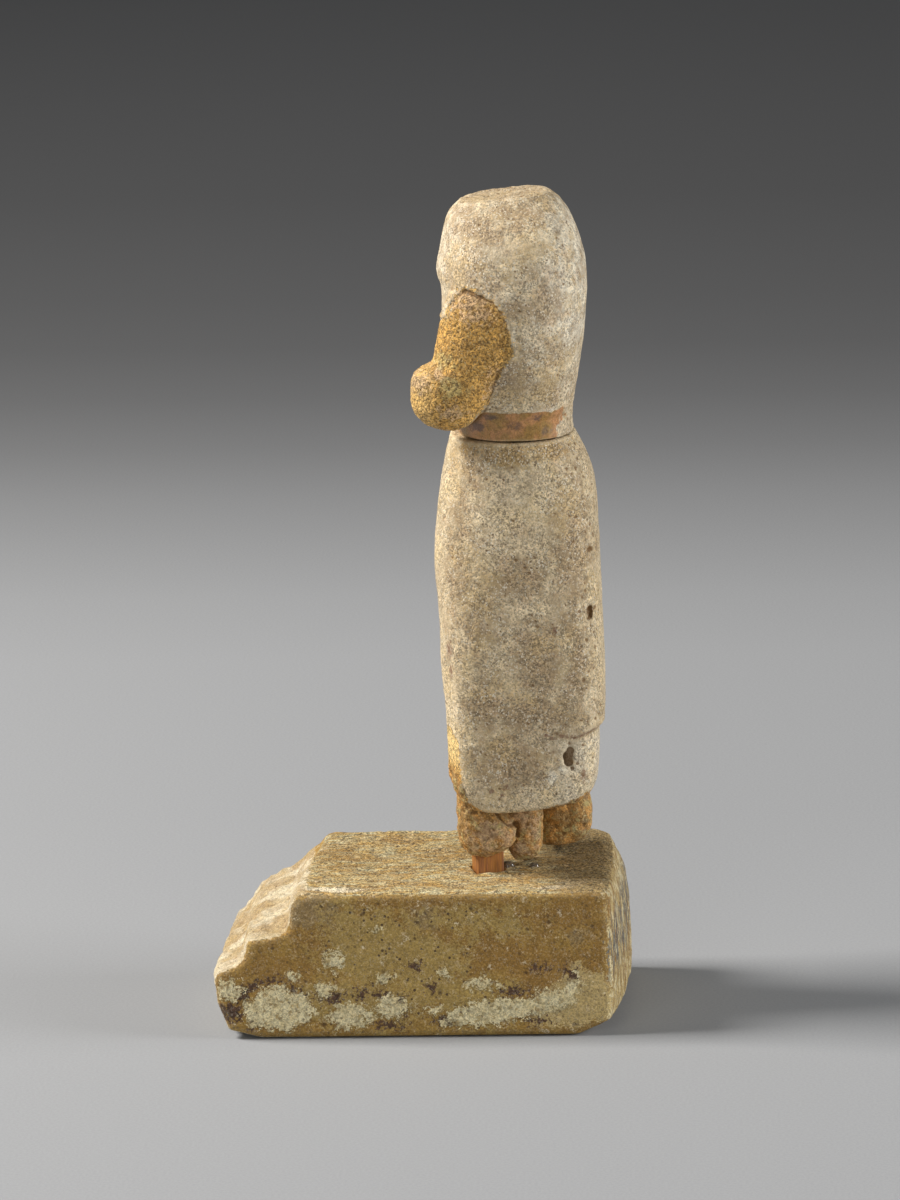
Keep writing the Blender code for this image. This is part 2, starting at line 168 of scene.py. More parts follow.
GREY_SPOTS = (
    (12.9, 121.2, 1.5, 1.1), (15.6, 123.6, 1.5, 0.5), (26.3, 120.2, 0.7, 0.7), (24.6, 123.3, 0.5, 0.6),
    (20.6, 121.6, 1, 0.7),
)
RED_SPOTS = (
    (14.6, 48.6, 0.5, 0.45), (17, 49.2, 0.7, 0.4), (16.6, 47.6, 0.4, 0.35), (18.3, 47.8, 0.35, 0.3),
    (32.8, 51.4, 0.4, 1.6), (6.6, 76.6, 0.5, 1.6), (6.9, 72.6, 0.4, 1), (27.6, 81, 0.4, 0.7),
)
MAUVE_SPOTS = (
    (12.6, 147.4, 3.6, 1.6), (13.6, 144.6, 2.4, 1.4), (1.9, 131.2, 2, 1.6), (8, 125.6, 2, 1.2),
    (5.4, 133, 1, 0.8), (16.5, 130.5, 0.9, 2),
)
MAUVE_STUBS = (
    (13, 38.2, 2.8, 2.6), (17, 37.6, 1.8, 2), (12.5, 35, 2.4, 1.4), (20.6, 40.4, 2.2, 2.6),
    (22.6, 37, 0.9, 3.2), (20, 33.4, 2, 1.6), (33, 41.6, 0.9, 1.4),
)
OLIVE_SPOTS = ((8.4, 130.4, 2, 1.6), (7, 136, 1.4, 1), (26.2, 37.4, 1.6, 1.6), (30.5, 35.6, 2.4, 1.2))
WHITE_CHIPS = (
    (4.7, 134.6, 0.9, 1.5), (20.4, 140.6, 0.8, 2.2), (21, 138, 0.7, 1.2), (12.4, 153, 1.2, 1),
    (15, 123.9, 2.4, 0.4), (27, 124.6, 1.6, 0.5), (28.6, 122, 1.2, 1.4), (28.9, 53, 1.4, 0.8),
    (13.6, 83, 0.6, 3), (26.6, 51.2, 1.2, 1.6),
)

# Single hollows in that view, and in the view from above (along X, then Y): place, radius, depth
SKIRT_HOLLOWS = (
    (34.8, 84, 1.1, 0.55), (34.6, 82.8, 0.8, 0.45), (30.4, 56.6, 0.9, 0.60), (29.8, 55.4, 1.1, 0.90),
    (29.9, 54.2, 1, 0.80), (30.6, 53, 0.7, 0.50), (34.7, 96, 0.7, 0.40),
)
# Painted shade in two of the skirt's hollows: along Y, up, half length, half height
PAINTED_SHADE_HOLLOWS = ((34.5, 83.8, 0.5, 1.3), (34.7, 96, 0.4, 0.6))
NECK_HOLLOWS = (
    (6.4, 20.6, 0.6, 0.30), (6, 22.4, 0.7, 0.30), (5.6, 24.3, 0.6, 0.30), (5.2, 26, 0.7, 0.35),
    (3, 25, 0.5, 0.30), (1.2, 21.6, 0.5, 0.30), (3, 10.9, 1, 0.35), (0, 10.9, 1, 0.35),
    (-3, 10.9, 1, 0.35),
)
# Painted shade on the paper, standing in for the light's falloff, a little brighter just behind the part,
# from far behind (0) to the part (1): place, share of the near tone
PAPER_PAINTED_SHADE = (
    (0, 0.66), (0.18, 0.55), (0.335, 0.445), (0.467, 0.42), (0.524, 0.43), (0.577, 0.50),
    (0.627, 0.63), (0.673, 0.80), (0.715, 0.92), (0.755, 1.02), (0.80, 1.06), (0.90, 1),
)

# A mark with this depth inside shows nowhere
NOWHERE = -9

# Drops of glue on the plinth's top: across, along, and the share of the width setting
GLUE_DROPS = ((4.9, 17.2, 1.0), (5.5, 22.4, 0.8))

# Large numbers that turn a corner of the noise's lattice and a seed into a slope
CORNER_STEPS = (374761393, 668265263, 2147483647)
SEED_STEP = 974711
SCRAMBLE = 1274126177

# The studio in metres: each light's place, side, setting and colour, and the photograph's view
LIGHTS = {
    "key_light": ((-0.02, -0.79, 0.84), 0.40, "key_power", (1.0, 0.94, 0.87)),
    "rim_light": ((0.12, 0.90, 0.36), 0.45, "rim_power", (1.0, 0.97, 0.93)),
    "fill_light": ((1.30, -0.30, 0.46), 0.80, "fill_power", (1.0, 0.98, 0.95)),
}
LIT_POINT = Vector((0, 0.01, 0.07))
SKY_COLOUR = (0.96, 0.98, 1.0, 1)
PAPER_HALF_SIZE = 3.0
PAPER_DEPTH = 1.5
PAPER_Z = -0.0001
VIEW_AZIMUTH, VIEW_ELEVATION, VIEW_ROLL = (math.radians(angle) for angle in (92.0, 13.0, 1.2))
VIEW_TARGET = Vector((0, 0.00645, 0.0837))
VIEW_DISTANCE = 1.3
LENS_AT_VIEW_DISTANCE = 195
SENSOR_WIDTH = 36


# Working on surfaces


def lattice_noise(points, seed):
    """Smooth noise from about -1 to 1 at each point, with one lump to a unit."""
    base = np.floor(points).astype(np.int64)
    part = points - base
    ease = part**3 * (part * (part * 6 - 15) + 10)
    total = np.zeros(len(points))
    for corner in np.ndindex(2, 2, 2):
        offset = np.array(corner)
        key = (base + offset) @ np.array(CORNER_STEPS) + seed * SEED_STEP
        key = (key ^ (key >> 13)) * SCRAMBLE
        key ^= key >> 16
        slope = np.stack([(key >> shift) & 255 for shift in (0, 8, 16)], 1) / 127.5 - 1
        weight = np.where(offset, ease, 1 - ease).prod(1)
        total += weight * ((part - offset) * slope).sum(1)
    return 1.6 * total


def rough(points, size, seed, layers=2, stretch=(1, 1, 1)):
    """Layered noise whose largest lumps have this size, each layer half the size of the last."""
    points = points / np.array(stretch, float)
    shares = [0.5**k for k in range(layers)]
    total = sum(s * lattice_noise(points / (size * s), seed + k) for k, s in enumerate(shares))
    return total / sum(shares)


def ramp(values, low, high):
    """0 below low, 1 above high, and an eased slope between them."""
    share = np.clip((values - low) / (high - low), 0, 1)
    return share * share * (3 - 2 * share)


def bell(values, middle, spread):
    """1 at the middle, falling off smoothly to both sides."""
    return np.exp(-(((values - middle) / spread) ** 2))


def slope_height(along, place, height, rise):
    """The height of a straight slope that goes through one place."""
    return height + rise * (along - place)


def from_side(points):
    """The points as the view from the figure's left has them."""
    return points[:, 1:]


def distance_to_line(places, line):
    """How far each place is from a run of straight pieces."""
    nearest = np.full(len(places), np.inf)
    corners = np.array(line, float)
    for start, end in zip(corners, corners[1:]):
        run = end - start
        share = np.clip((places - start) @ run / (run @ run), 0, 1)
        nearest = np.minimum(nearest, np.linalg.norm(places - start - share[:, None] * run, axis=1))
    return nearest


def depth_inside(places, outline):
    """How deep each place lies inside a closed outline, below 0 outside it."""
    inside = np.zeros(len(places), bool)
    closed = (*outline, outline[0])
    for (x0, y0), (x1, y1) in zip(closed, closed[1:]):
        if y0 != y1:
            crossed = (y0 > places[:, 1]) != (y1 > places[:, 1])
            inside ^= crossed & (places[:, 0] < x0 + (x1 - x0) * (places[:, 1] - y0) / (y1 - y0))
    return distance_to_line(places, closed) * np.where(inside, 1, -1)


def depth_in_patches(places, patches):
    """How deep each place lies inside the nearest of some round patches, below 0 outside them."""
    deepest = np.full(len(places), -1e3)
    for along, up, half_length, half_height in patches:
        spread = np.hypot((places[:, 0] - along) / half_length, (places[:, 1] - up) / half_height)
        deepest = np.maximum(deepest, (1 - spread) * min(half_length, half_height))
    return deepest


class Surface:
    """The fine mesh of one piece while it is worn: its points in millimetres, edges and normals."""

    def __init__(self, node, name, fineness):
        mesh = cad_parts[node].data.copy()
        welded = bmesh.new()
        welded.from_mesh(mesh)
        bmesh.ops.remove_doubles(welded, verts=welded.verts, dist=1e-7)
        welded.to_mesh(mesh)
        welded.free()
        coarse = bpy.data.objects.new(name + "_coarse", mesh)
        bpy.context.scene.collection.objects.link(coarse)
        remesh = coarse.modifiers.new("Fine mesh", "REMESH")
        remesh.mode = "VOXEL"
        remesh.voxel_size = fineness
        bpy.context.view_layer.update()
        graph = bpy.context.evaluated_depsgraph_get()
        self.mesh = bpy.data.meshes.new_from_object(coarse.evaluated_get(graph))
        bpy.data.objects.remove(coarse)
        self.mesh.name = name
        self.mesh.materials.clear()
        self.piece = bpy.data.objects.new(name, self.mesh)
        bpy.context.scene.collection.objects.link(self.piece)
        self.points = self.read(self.mesh.vertices, "co", 3) / MM
        self.edges = self.read(self.mesh.edges, "vertices", 2, np.int32)
        self.links = np.bincount(self.edges.ravel(), minlength=len(self.points))
        self.find_normals()

    @staticmethod
    def read(items, what, width, kind=np.float64):
        values = np.empty(len(items) * width, kind)
        items.foreach_get(what, values)
        return values.reshape(-1, width)

    def rough(self, size, seed, layers=2, stretch=(1, 1, 1)):
        return rough(self.points, size, seed, layers, stretch)

    def find_normals(self):
        """Puts the points back into the mesh and takes its normals."""
        self.mesh.vertices.foreach_set("co", (self.points * MM).ravel())
        self.mesh.update()
        self.normals = self.read(self.mesh.vertex_normals, "vector", 3)

    def relaxed(self, points, rounds, share=0.5):
        """The points drawn towards the mean of their neighbours, by a share for each point."""
        share = np.broadcast_to(share, len(points))[:, None]
        first, second = self.edges.T
        for _ in range(rounds):
            mean = np.empty_like(points)
            for axis in range(3):
                column = points[:, axis]
                total = np.bincount(first, column[second], len(points))
                total += np.bincount(second, column[first], len(points))
                mean[:, axis] = total / self.links
            points = points + share * (mean - points)
        return points

    def relax(self, rounds, share=0.5):
        self.points = self.relaxed(self.points, rounds, share)
        self.find_normals()

    def soften(self, rounds, middle_y, spread_y, middle_z, spread_z, from_x=-np.inf):
        """Rounds an edge near one place of the side view, on the side where X is over from_x."""
        x, y, z = self.points.T
        near = bell(z, middle_z, spread_z) * (x > from_x)
        self.relax(rounds, SOFTENING * bell(y, middle_y, spread_y) * near)

    def push(self, height):
        """Moves every point out along its normal by its own height, in millimetres."""
        self.points = self.points + self.normals * height[:, None]
        self.find_normals()

    def pit(self, count, seed, where, radii, depths):
        """Sinks a count of round pits at points drawn with this seed from where the mask is true."""
        draw = np.random.default_rng(seed)
        height = np.zeros(len(self.points))
        for centre in self.points[draw.choice(np.flatnonzero(where), count)]:
            radius, depth = draw.uniform(*radii), draw.uniform(*depths)
            share = ((self.points - centre) ** 2).sum(1) / radius**2
            height -= depth * np.clip(1 - share, 0, 1) ** 2
        self.push(np.maximum(height, -2 * max(depths)))

    def hollow(self, places, flat, where):
        """Sinks one round hollow at each place of a flat view, where the mask is true."""
        height = np.zeros(len(flat))
        for along, up, radius, depth in places:
            share = ((flat - (along, up)) ** 2).sum(1) / radius**2
            height -= depth * np.clip(1 - share, 0, 1)
        self.push(height * where)

    def ridges(self, rounds):
        """How far each point stands out of its smoothed surroundings, in millimetres."""
        return ((self.points - self.relaxed(self.points, rounds)) * self.normals).sum(1)

    def in_patches(self, patches, from_x=0.0, less=3.0):
        """How deep each point lies in some patches of the side view, and less where X is below from_x."""
        return depth_in_patches(from_side(self.points), patches) - less * (self.points[:, 0] <= from_x)

    def mark(self, **marks):
        """Keeps numbers for each point, under their names, for the material to read."""
        for name, values in marks.items():
            made = self.mesh.attributes.new(name, "FLOAT", "POINT")
            spread = np.broadcast_to(values, len(self.points)).astype(np.float32)
            made.data.foreach_set("value", spread)

    def finish(self, node, slot, material):
        """Closes the work: smooth shading, its material, and its place in the frame."""
        self.mesh.shade_smooth()
        self.mesh.materials.append(material)
        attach(self.piece, BODY)
        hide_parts(node)
        return self.piece


# Shader groups


def fill(tree, node, inputs):
    """Gives each input a number, a colour or another node's output."""
    for key, value in inputs.items():
        if isinstance(value, bpy.types.NodeSocket):
            tree.links.new(value, node.inputs[key])
        else:
            node.inputs[key].default_value = value
    return node


def add(tree, kind, inputs, **settings):
    """A new node with its settings and inputs."""
    made = tree.nodes.new("ShaderNode" + kind)
    for key, value in settings.items():
        setattr(made, key, value)
    return fill(tree, made, inputs)


def maths(tree, operation, first, second=0.0, clamp=False):
    return add(tree, "Math", {0: first, 1: second}, operation=operation, use_clamp=clamp).outputs[0]


def eased(tree, value, low, high, to_low=0.0, to_high=1.0):
    """The value mapped from low..high to another range with soft ends."""
    return add(
        tree, "MapRange",
        {"Value": value, "From Min": low, "From Max": high, "To Min": to_low, "To Max": to_high},
        interpolation_type="SMOOTHSTEP",
    ).outputs["Result"]


def blend(tree, share, under, over, mode="MIX"):
    """One colour laid over another by a share."""
    return add(
        tree, "Mix", {0: share, 6: under, 7: over}, data_type="RGBA", blend_type=mode
    ).outputs[2]


def noise(tree, place, scale, detail, roughness):
    """Blender's noise, with this many lumps to a metre."""
    given = {"Vector": place, "Scale": scale, "Detail": detail, "Roughness": roughness}
    return add(tree, "TexNoise", given).outputs["Fac"]


def per_metre(tree, size_mm):
    """How many lumps of this size in millimetres go to a metre."""
    return maths(tree, "DIVIDE", 1000.0, size_mm)


def new_group(name, inputs, outputs):
    """An empty shader group with named inputs, each given its default, and named outputs."""
    tree = bpy.data.node_groups.new(name, "ShaderNodeTree")
    for label, default in inputs.items():
        kind = "NodeSocketFloat" if isinstance(default, float) else "NodeSocketVector"
        socket = tree.interface.new_socket(label, in_out="INPUT", socket_type=kind)
        socket.default_value = default
    for label in outputs:
        tree.interface.new_socket(label, in_out="OUTPUT", socket_type="NodeSocketFloat")
    return tree, tree.nodes.new("NodeGroupInput").outputs, tree.nodes.new("NodeGroupOutput").inputs


def place_group(tree, name, inputs):
    """Puts a group in a material with its own values."""
    made = tree.nodes.new("ShaderNodeGroup")
    made.node_tree = shader_group(name)
    return fill(tree, made, inputs).outputs


def shader_group(name):
    """The shared group of this name, built the first time it is asked for."""
    return bpy.data.node_groups.get(name) or GROUP_MAKERS[name]()


def cells(tree, place, scale):
    """Random cells: three tones for each, and the distance to its middle."""
    made = add(tree, "TexVoronoi", {"Vector": place, "Scale": scale})
    split = add(tree, "SeparateColor", {"Color": made.outputs["Color"]})
    return split.outputs, made.outputs["Distance"]


def sand_grain():
    """Single grains, each with a tone of its own, and their height."""
    tree, given, out = new_group(
        "Sand grain", {"Place": (0, 0, 0), "Grain Size": 0.3}, ("Tone", "Height", "Dark", "Bright")
    )
    scale = per_metre(tree, given["Grain Size"])
    fine, fine_distance = cells(tree, given["Place"], scale)
    large, large_distance = cells(tree, given["Place"], maths(tree, "MULTIPLY", scale, 0.52))
    tone = maths(tree, "ADD", maths(tree, "MULTIPLY", fine[0], 0.58),
                 maths(tree, "MULTIPLY", large[0], 0.42))
    tree.links.new(tone, out["Tone"])
    domes = maths(tree, "ADD", maths(tree, "MULTIPLY", fine_distance, -0.6),
                  maths(tree, "MULTIPLY", large_distance, -0.8))
    tree.links.new(maths(tree, "ADD", domes, tone), out["Height"])
    tree.links.new(eased(tree, large[1], 0.84, 0.92), out["Dark"])
    tree.links.new(eased(tree, fine[2], 0.84, 0.92), out["Bright"])
    return tree


def ragged_patch():
    """A mask from a depth in millimetres, its edge broken up by noise and by single grains."""
    tree, given, out = new_group(
        "Ragged patch",
        {"Depth": 0.0, "Place": (0, 0, 0), "Ragged": 0.5, "Break Size": 1.2, "Soft": 0.12, "Grain": 0.5},
        ("Mask",),
    )
    broken = noise(tree, given["Place"], per_metre(tree, given["Break Size"]), 4.0, 0.62)
    wander = maths(tree, "MULTIPLY", maths(tree, "SUBTRACT", broken, 0.5), given["Ragged"])
    grainy = maths(tree, "MULTIPLY", maths(tree, "SUBTRACT", given["Grain"], 0.5), given["Ragged"])
    moved = maths(tree, "ADD", given["Depth"], maths(tree, "MULTIPLY", wander, 4.0))
    moved = maths(tree, "ADD", moved, grainy)
    below = maths(tree, "MULTIPLY", given["Soft"], -1.0)
    tree.links.new(eased(tree, moved, below, given["Soft"]), out["Mask"])
    return tree


def mottling():
    """Soft clouds of tone, as a mask; each offset gives other clouds."""
    tree, given, out = new_group(
        "Mottling",
        {"Place": (0, 0, 0), "Cloud Size": 5.0, "Low": 0.4, "High": 0.65, "Offset": 0.0}, ("Mask",),
    )
    moved = add(tree, "VectorMath", {0: given["Place"], 1: given["Offset"]}, operation="ADD")
    lumps = noise(tree, moved.outputs["Vector"], per_metre(tree, given["Cloud Size"]), 5.0, 0.6)
    tree.links.new(eased(tree, lumps, given["Low"], given["High"]), out["Mask"])
    return tree


def specks():
    """Scattered small specks, as a mask."""
    tree, given, out = new_group(
        "Specks", {"Place": (0, 0, 0), "Spacing": 1.5, "Size": 0.2, "Share": 0.5}, ("Mask",)
    )
    tones, distance = cells(tree, given["Place"], per_metre(tree, given["Spacing"]))
    radius = maths(tree, "MULTIPLY", given["Size"], tones[0])
    near = eased(tree, maths(tree, "SUBTRACT", radius, distance), -0.04, 0.06)
    kept = maths(tree, "LESS_THAN", tones[1], given["Share"])
    tree.links.new(maths(tree, "MULTIPLY", near, kept), out["Mask"])
    return tree


GROUP_MAKERS = {
    "Sand grain": sand_grain, "Ragged patch": ragged_patch, "Mottling": mottling, "Specks": specks,
}


# Settings


def colour_setting(name, description, value):
    return FloatVectorProperty(
        name=name, description=description, default=value, subtype="COLOR", size=3, min=0, max=1
    )


def length_setting(name, description, value, low):
    return FloatProperty(
        name=name, description=description, default=value, min=low, unit="LENGTH", precision=5
    )


class FigureSettings(PropertyGroup):
    torso_fineness: length_setting("Torso fineness", "Mesh cell of the torso", 0.0003, 0.0002)
    skirt_fineness: length_setting("Skirt fineness", "Mesh cell of the skirt", 0.00037, 0.0002)
    grain: length_setting("Grain", "Size of one grain of the stone", 0.00026, 0.0001)
    crust: colour_setting("Crust", "Pale weathered crust", (0.69, 0.57, 0.375))
    crust_shade: colour_setting("Crust shade", "Darker clouds in the crust", (0.42, 0.325, 0.19))
    crust_soil: colour_setting("Soil", "Brown soil held in the crust", (0.3, 0.205, 0.105))
    crust_white: colour_setting("White crust", "Whitest parts of the crust", (0.8, 0.74, 0.6))
    speck: colour_setting("Speck", "Dark specks in the crust", (0.17, 0.115, 0.06))
    core: colour_setting("Core", "Golden core where the crust is lost", (0.56, 0.32, 0.078))
    core_dark: colour_setting("Dark core", "Darker grains of the core", (0.17, 0.085, 0.022))
    core_pale: colour_setting("Pale core", "Yellowish core near the crust", (0.76, 0.56, 0.24))
    mauve: colour_setting("Mauve", "Pinkish grey places in the core", (0.45, 0.32, 0.205))
    olive: colour_setting("Olive", "Greenish places in the core", (0.42, 0.36, 0.15))
    rust: colour_setting("Rust", "Orange brown of the leg stubs", (0.54, 0.265, 0.06))
    umber: colour_setting("Umber", "Dark brown of the leg stubs", (0.27, 0.14, 0.034))
    waist: colour_setting("Waist", "Smooth brown band at the waist joint", (0.29, 0.17, 0.048))
    waist_warm: colour_setting("Warm waist", "Orange parts of that band", (0.43, 0.215, 0.085))
    waist_spot: colour_setting("Waist spots", "Dark grey spots on that band", (0.075, 0.052, 0.05))
    red_spot: colour_setting("Red spots", "Small reddish brown spots", (0.15, 0.055, 0.03))


class PlinthSettings(PropertyGroup):
    fineness: length_setting("Fineness", "Mesh cell of the plinth", 0.00043, 0.0002)
    grain: length_setting("Grain", "Size of one grain of the stone", 0.00024, 0.0001)
    stone: colour_setting("Stone", "Yellowish brown stone", (0.39, 0.24, 0.055))
    ochre: colour_setting("Ochre", "Rusty clouds in the stone", (0.3, 0.165, 0.036))
    dotted: colour_setting("Dotted stone", "Paler stone with dark dots", (0.42, 0.302, 0.095))
    greyed: colour_setting("Greyed stone", "Greyish brown places", (0.3, 0.215, 0.1))
    top: colour_setting("Top", "Paler granular top", (0.5, 0.47, 0.3))
    crust: colour_setting("Crust", "Pale crust patches", (0.76, 0.67, 0.41))
    yellow: colour_setting("Yellow crust", "Yellowish crust", (0.56, 0.43, 0.19))
    stain: colour_setting("Stain", "Dark brown stains", (0.07, 0.036, 0.02))
    white: colour_setting("White crust", "Crust in the breaks at the front", (0.74, 0.68, 0.52))
    grey: colour_setting("Grey streaks", "Blue grey streaks on the back end", (0.11, 0.115, 0.115))
    # Painted shadow: colour of the figure's shadow on the back part of the top
    dull: colour_setting("Dull top", "Darker back part of the top", (0.24, 0.165, 0.065))


class DowelSettings(PropertyGroup):
    fineness: length_setting("Fineness", "Mesh cell of the dowel", 0.00018, 0.0001)
    wood: colour_setting("Wood", "Reddish brown wood", (0.35, 0.142, 0.024))
    wood_dark: colour_setting("Dark grain", "Dark lines of the wood", (0.27, 0.105, 0.032))
    glue: colour_setting("Glue", "Clear glue, a little yellowed", (0.5, 0.45, 0.38))
    drop_width: length_setting("Glue drop", "Width of a drop of glue", 0.0021, 0.0005)


class StageSettings(PropertyGroup):
    floor: colour_setting("Floor", "Pale grey paper", (0.298, 0.314, 0.337))
    distance: length_setting("Camera distance", "From the camera to the part", VIEW_DISTANCE, 0.3)
    key_power: FloatProperty(name="Key light", description="Watts from the left", default=20.3)
    rim_power: FloatProperty(name="Rim light", description="Watts from behind", default=7.2)
    fill_power: FloatProperty(name="Fill light", description="Watts from the front", default=5.0)
    sky: FloatProperty(name="Sky", description="Strength of the light all round", default=0.06)


def as_rgba(colour):
    return (*colour, 1.0)


# Materials


class Paint:
    """A material while it is built: its nodes, the place on the object and its settings' colours."""

    def __init__(self, name, settings):
        self.material = bpy.data.materials.new(name)
        self.material.use_nodes = True
        self.tree = self.material.node_tree
        self.shader = self.tree.nodes["Principled BSDF"]
        self.settings = settings
        self.place = add(self.tree, "TexCoord", {}).outputs["Object"]

    def colour(self, given):
        """A colour of the settings by its name, or the colour that is given."""
        return as_rgba(getattr(self.settings, given)) if isinstance(given, str) else given

    def grain(self, size):
        return place_group(self.tree, "Sand grain", {"Place": self.place, "Grain Size": size / MM})

    def marked(self, name):
        """The number kept for each point under this name."""
        given = add(self.tree, "Attribute", {}, attribute_name=name, attribute_type="GEOMETRY")
        return given.outputs["Fac"]

    def mapped(self, name, low=0, high=1, to_low=0, to_high=1):
        """The number kept for each point, mapped from low..high with soft ends."""
        return eased(self.tree, self.marked(name), low, high, to_low, to_high)

    def patch(self, name, ragged, size, soft, grain=0.5, place=None):
        """The mask of a marked place, with its own raggedness."""
        return place_group(self.tree, "Ragged patch", {
            "Depth": self.marked(name), "Place": place or self.place, "Ragged": ragged,
            "Break Size": size, "Soft": soft, "Grain": grain,
        })["Mask"]

    def clouds(self, size, offset=0.0, low=0.4, high=0.62, place=None):
        """The mask of soft clouds of this size in millimetres."""
        return place_group(self.tree, "Mottling", {
            "Place": place or self.place, "Cloud Size": size, "Offset": offset, "Low": low, "High": high,
        })["Mask"]

    def specks(self, spacing, share):
        given = {"Place": self.place, "Spacing": spacing, "Size": 0.44, "Share": share}
        return place_group(self.tree, "Specks", given)["Mask"]

    def stretched(self, x, y, z):
        """The place on the object with its axes scaled."""
        return add(self.tree, "Mapping", {"Vector": self.place, "Scale": (x, y, z)}).outputs["Vector"]

    def layers(self, place, size, detail, roughness, low, high):
        """The mask of noise in a stretched place, its lumps of this size in millimetres."""
        return eased(self.tree, noise(self.tree, place, 1000 / size, detail, roughness), low, high)

    def product(self, first, second):
        return maths(self.tree, "MULTIPLY", first, second)

    def sum(self, *values):
        total, *others = values
        for value in others:
            total = maths(self.tree, "ADD", total, value)
        return total

    def without(self, mask, share=1.0, whole=1.0):
        """What a share of a mask leaves of the whole."""
        return maths(self.tree, "SUBTRACT", whole, self.product(mask, share))

    def coat(self, under, over, mask, share=1.0):
        """One colour laid over another by a share of a mask."""
        return blend(self.tree, self.product(mask, share), self.colour(under), self.colour(over))

    def coats(self, under, *layers):
        """Several colours laid on one after another, each with its mask and share."""
        for over, *mask_and_share in layers:
            under = self.coat(under, over, *mask_and_share)
        return under

    def toned(self, colour, tone, low, high):
        """The colour with each grain darker or lighter."""
        tone = eased(self.tree, tone, 0.08, 0.92, low, high)
        return blend(self.tree, 1.0, self.colour(colour), tone, "MULTIPLY")

    def finish(self, colour, roughness, height, depth_mm, specular=0.5):
        """Joins the colour, roughness and relief to the shader."""
        bump = add(self.tree, "Bump", {"Height": height, "Distance": depth_mm * MM})
        given = {"Base Color": colour, "Roughness": roughness, "Normal": bump.outputs["Normal"]}
        fill(self.tree, self.shader, {**given, "Specular IOR Level": specular})
        return self.material


def crust_colour(paint, grain):
    """Pale crust with soil, tan and white places, dark specks and bright grains; on the torso the white
    places also carry painted light, and one soil patch carries painted shadow.
    """
    tone = grain["Tone"]
    colour = paint.coats(
        "crust",
        ("crust_shade", paint.clouds(3.6), 0.42),
        ("crust_shade", paint.clouds(13, 0.2), 0.40),
        # white crust, and on the torso painted light
        ("crust_white", paint.product(paint.marked("white"), paint.clouds(1.6, 0.7, 0.30, 0.50))),
        # soil, and beside the bare arm's lower end painted shadow
        ("crust_soil", paint.patch("soil", 3.4, 2.2, 1.8, tone), 0.72),
        ("waist", paint.patch("tan", 1.6, 1.8, 0.9, tone), 0.70),
        ("mauve", paint.clouds(3, 1.3, 0.50, 0.66), 0.30),
        ("core_pale", paint.clouds(7, 1.9, 0.46, 0.62), 0.20),
    )
    smoother = paint.clouds(5, 3.3, 0.45, 0.62)
    dotted = paint.sum(0.35, paint.product(paint.clouds(5.5, 2.1), 0.65))
    return paint.coats(
        paint.toned(colour, tone, 0.44, 1.50),
        (colour, smoother, 0.55),
        ("speck", paint.product(paint.specks(0.62, 0.34), dotted)),
        ("speck", paint.product(grain["Dark"], dotted), 0.40),
        ("crust_white", paint.product(grain["Bright"], dotted), 0.75),
        # red spots, and the painted shadow line along the flake's step
        ("red_spot", paint.patch("red", 0.55, 0.7, 0.20, tone), 0.70),
    )


def core_colour(paint, grain, coarse):
    """Golden sandy core, and the rusty leg stubs with their mauve and olive places."""
    tone = grain["Tone"]
    rusty = paint.mapped("rust")
    stub = paint.coats(
        "rust",
        ("umber", paint.clouds(2.6, 3.1, 0.44, 0.56)),
        ("olive", paint.clouds(2.2, 4.3, 0.52, 0.62), 0.8),
    )
    colour = paint.coats(
        paint.coat("core", "umber", paint.clouds(2.4, 5.2), 0.40),
        (stub, rusty),
        ("core_pale", paint.mapped("pale")),
        ("mauve", paint.patch("mauve", 2, 1.4, 0.7, tone), 0.65),
        ("olive", paint.patch("olive", 1.8, 1.4, 0.9, tone), 0.65),
    )
    return paint.coats(
        paint.toned(colour, tone, 0.34, 1.66),
        (paint.toned(colour, tone, 0.62, 1.34), rusty),
        ("core_dark", paint.product(coarse["Dark"], paint.clouds(4, 6, 0.40, 0.62)), 0.30),
        ("core_dark", grain["Dark"], 0.40),
        ("core_pale", grain["Bright"], 0.45),
    )


def waist_colour(paint, grain):
    """Smooth brown band with orange clouds and grey spots."""
    colour = paint.coats(
        "waist",
        ("waist_warm", paint.clouds(3.4, 7.7, 0.42, 0.60)),
        ("umber", paint.clouds(2, 8.1, 0.50, 0.64), 0.6),
        ("waist_spot", paint.patch("grey", 0.90, 1.3, 0.60), 0.75),
    )
    return paint.toned(colour, grain["Tone"], 0.78, 1.24)


def figure_stone(settings, height_mm=0.10):
    """Pale speckled crust, golden core where it is lost, and the smooth band at the waist."""
    paint = Paint("weathered_figure_stone", settings)
    grain = paint.grain(settings.grain)
    coarse = paint.grain(1.5 * settings.grain)
    core = paint.patch("core", 0.60, 1.0, 0.12, grain["Tone"])
    waist = paint.patch("waist", 0.30, 1.8, 0.12)
    colour = paint.coats(
        crust_colour(paint, grain),
        (core_colour(paint, grain, coarse), core),
        (waist_colour(paint, grain), waist),
        # painted shade in the skirt's hollows
        ("core_dark", paint.patch("dark", 0.50, 0.7, 0.25, grain["Tone"]), 0.85),
        # painted shade in hollows, darker where a point lies below its surroundings, and painted
        # highlight on raised points, which turn paler crust
        ("core_dark", paint.mapped("ridge", -0.09, -0.015, 0.75, 0)),
        ("crust", paint.product(paint.mapped("ridge", 0.02, 0.09), paint.without(core, 0.25, 0.35))),
    )
    matt = eased(paint.tree, grain["Bright"], 0, 1, 0.76, 0.34)
    roughness = maths(paint.tree, "SUBTRACT", matt, paint.product(waist, 0.40), clamp=True)
    height = paint.sum(
        paint.product(grain["Height"], paint.without(waist, 0.85)),
        paint.product(core, -1.2),
        paint.product(paint.product(coarse["Height"], core), 1.1),
    )
    return paint.finish(colour, roughness, height, height_mm, 0.45)


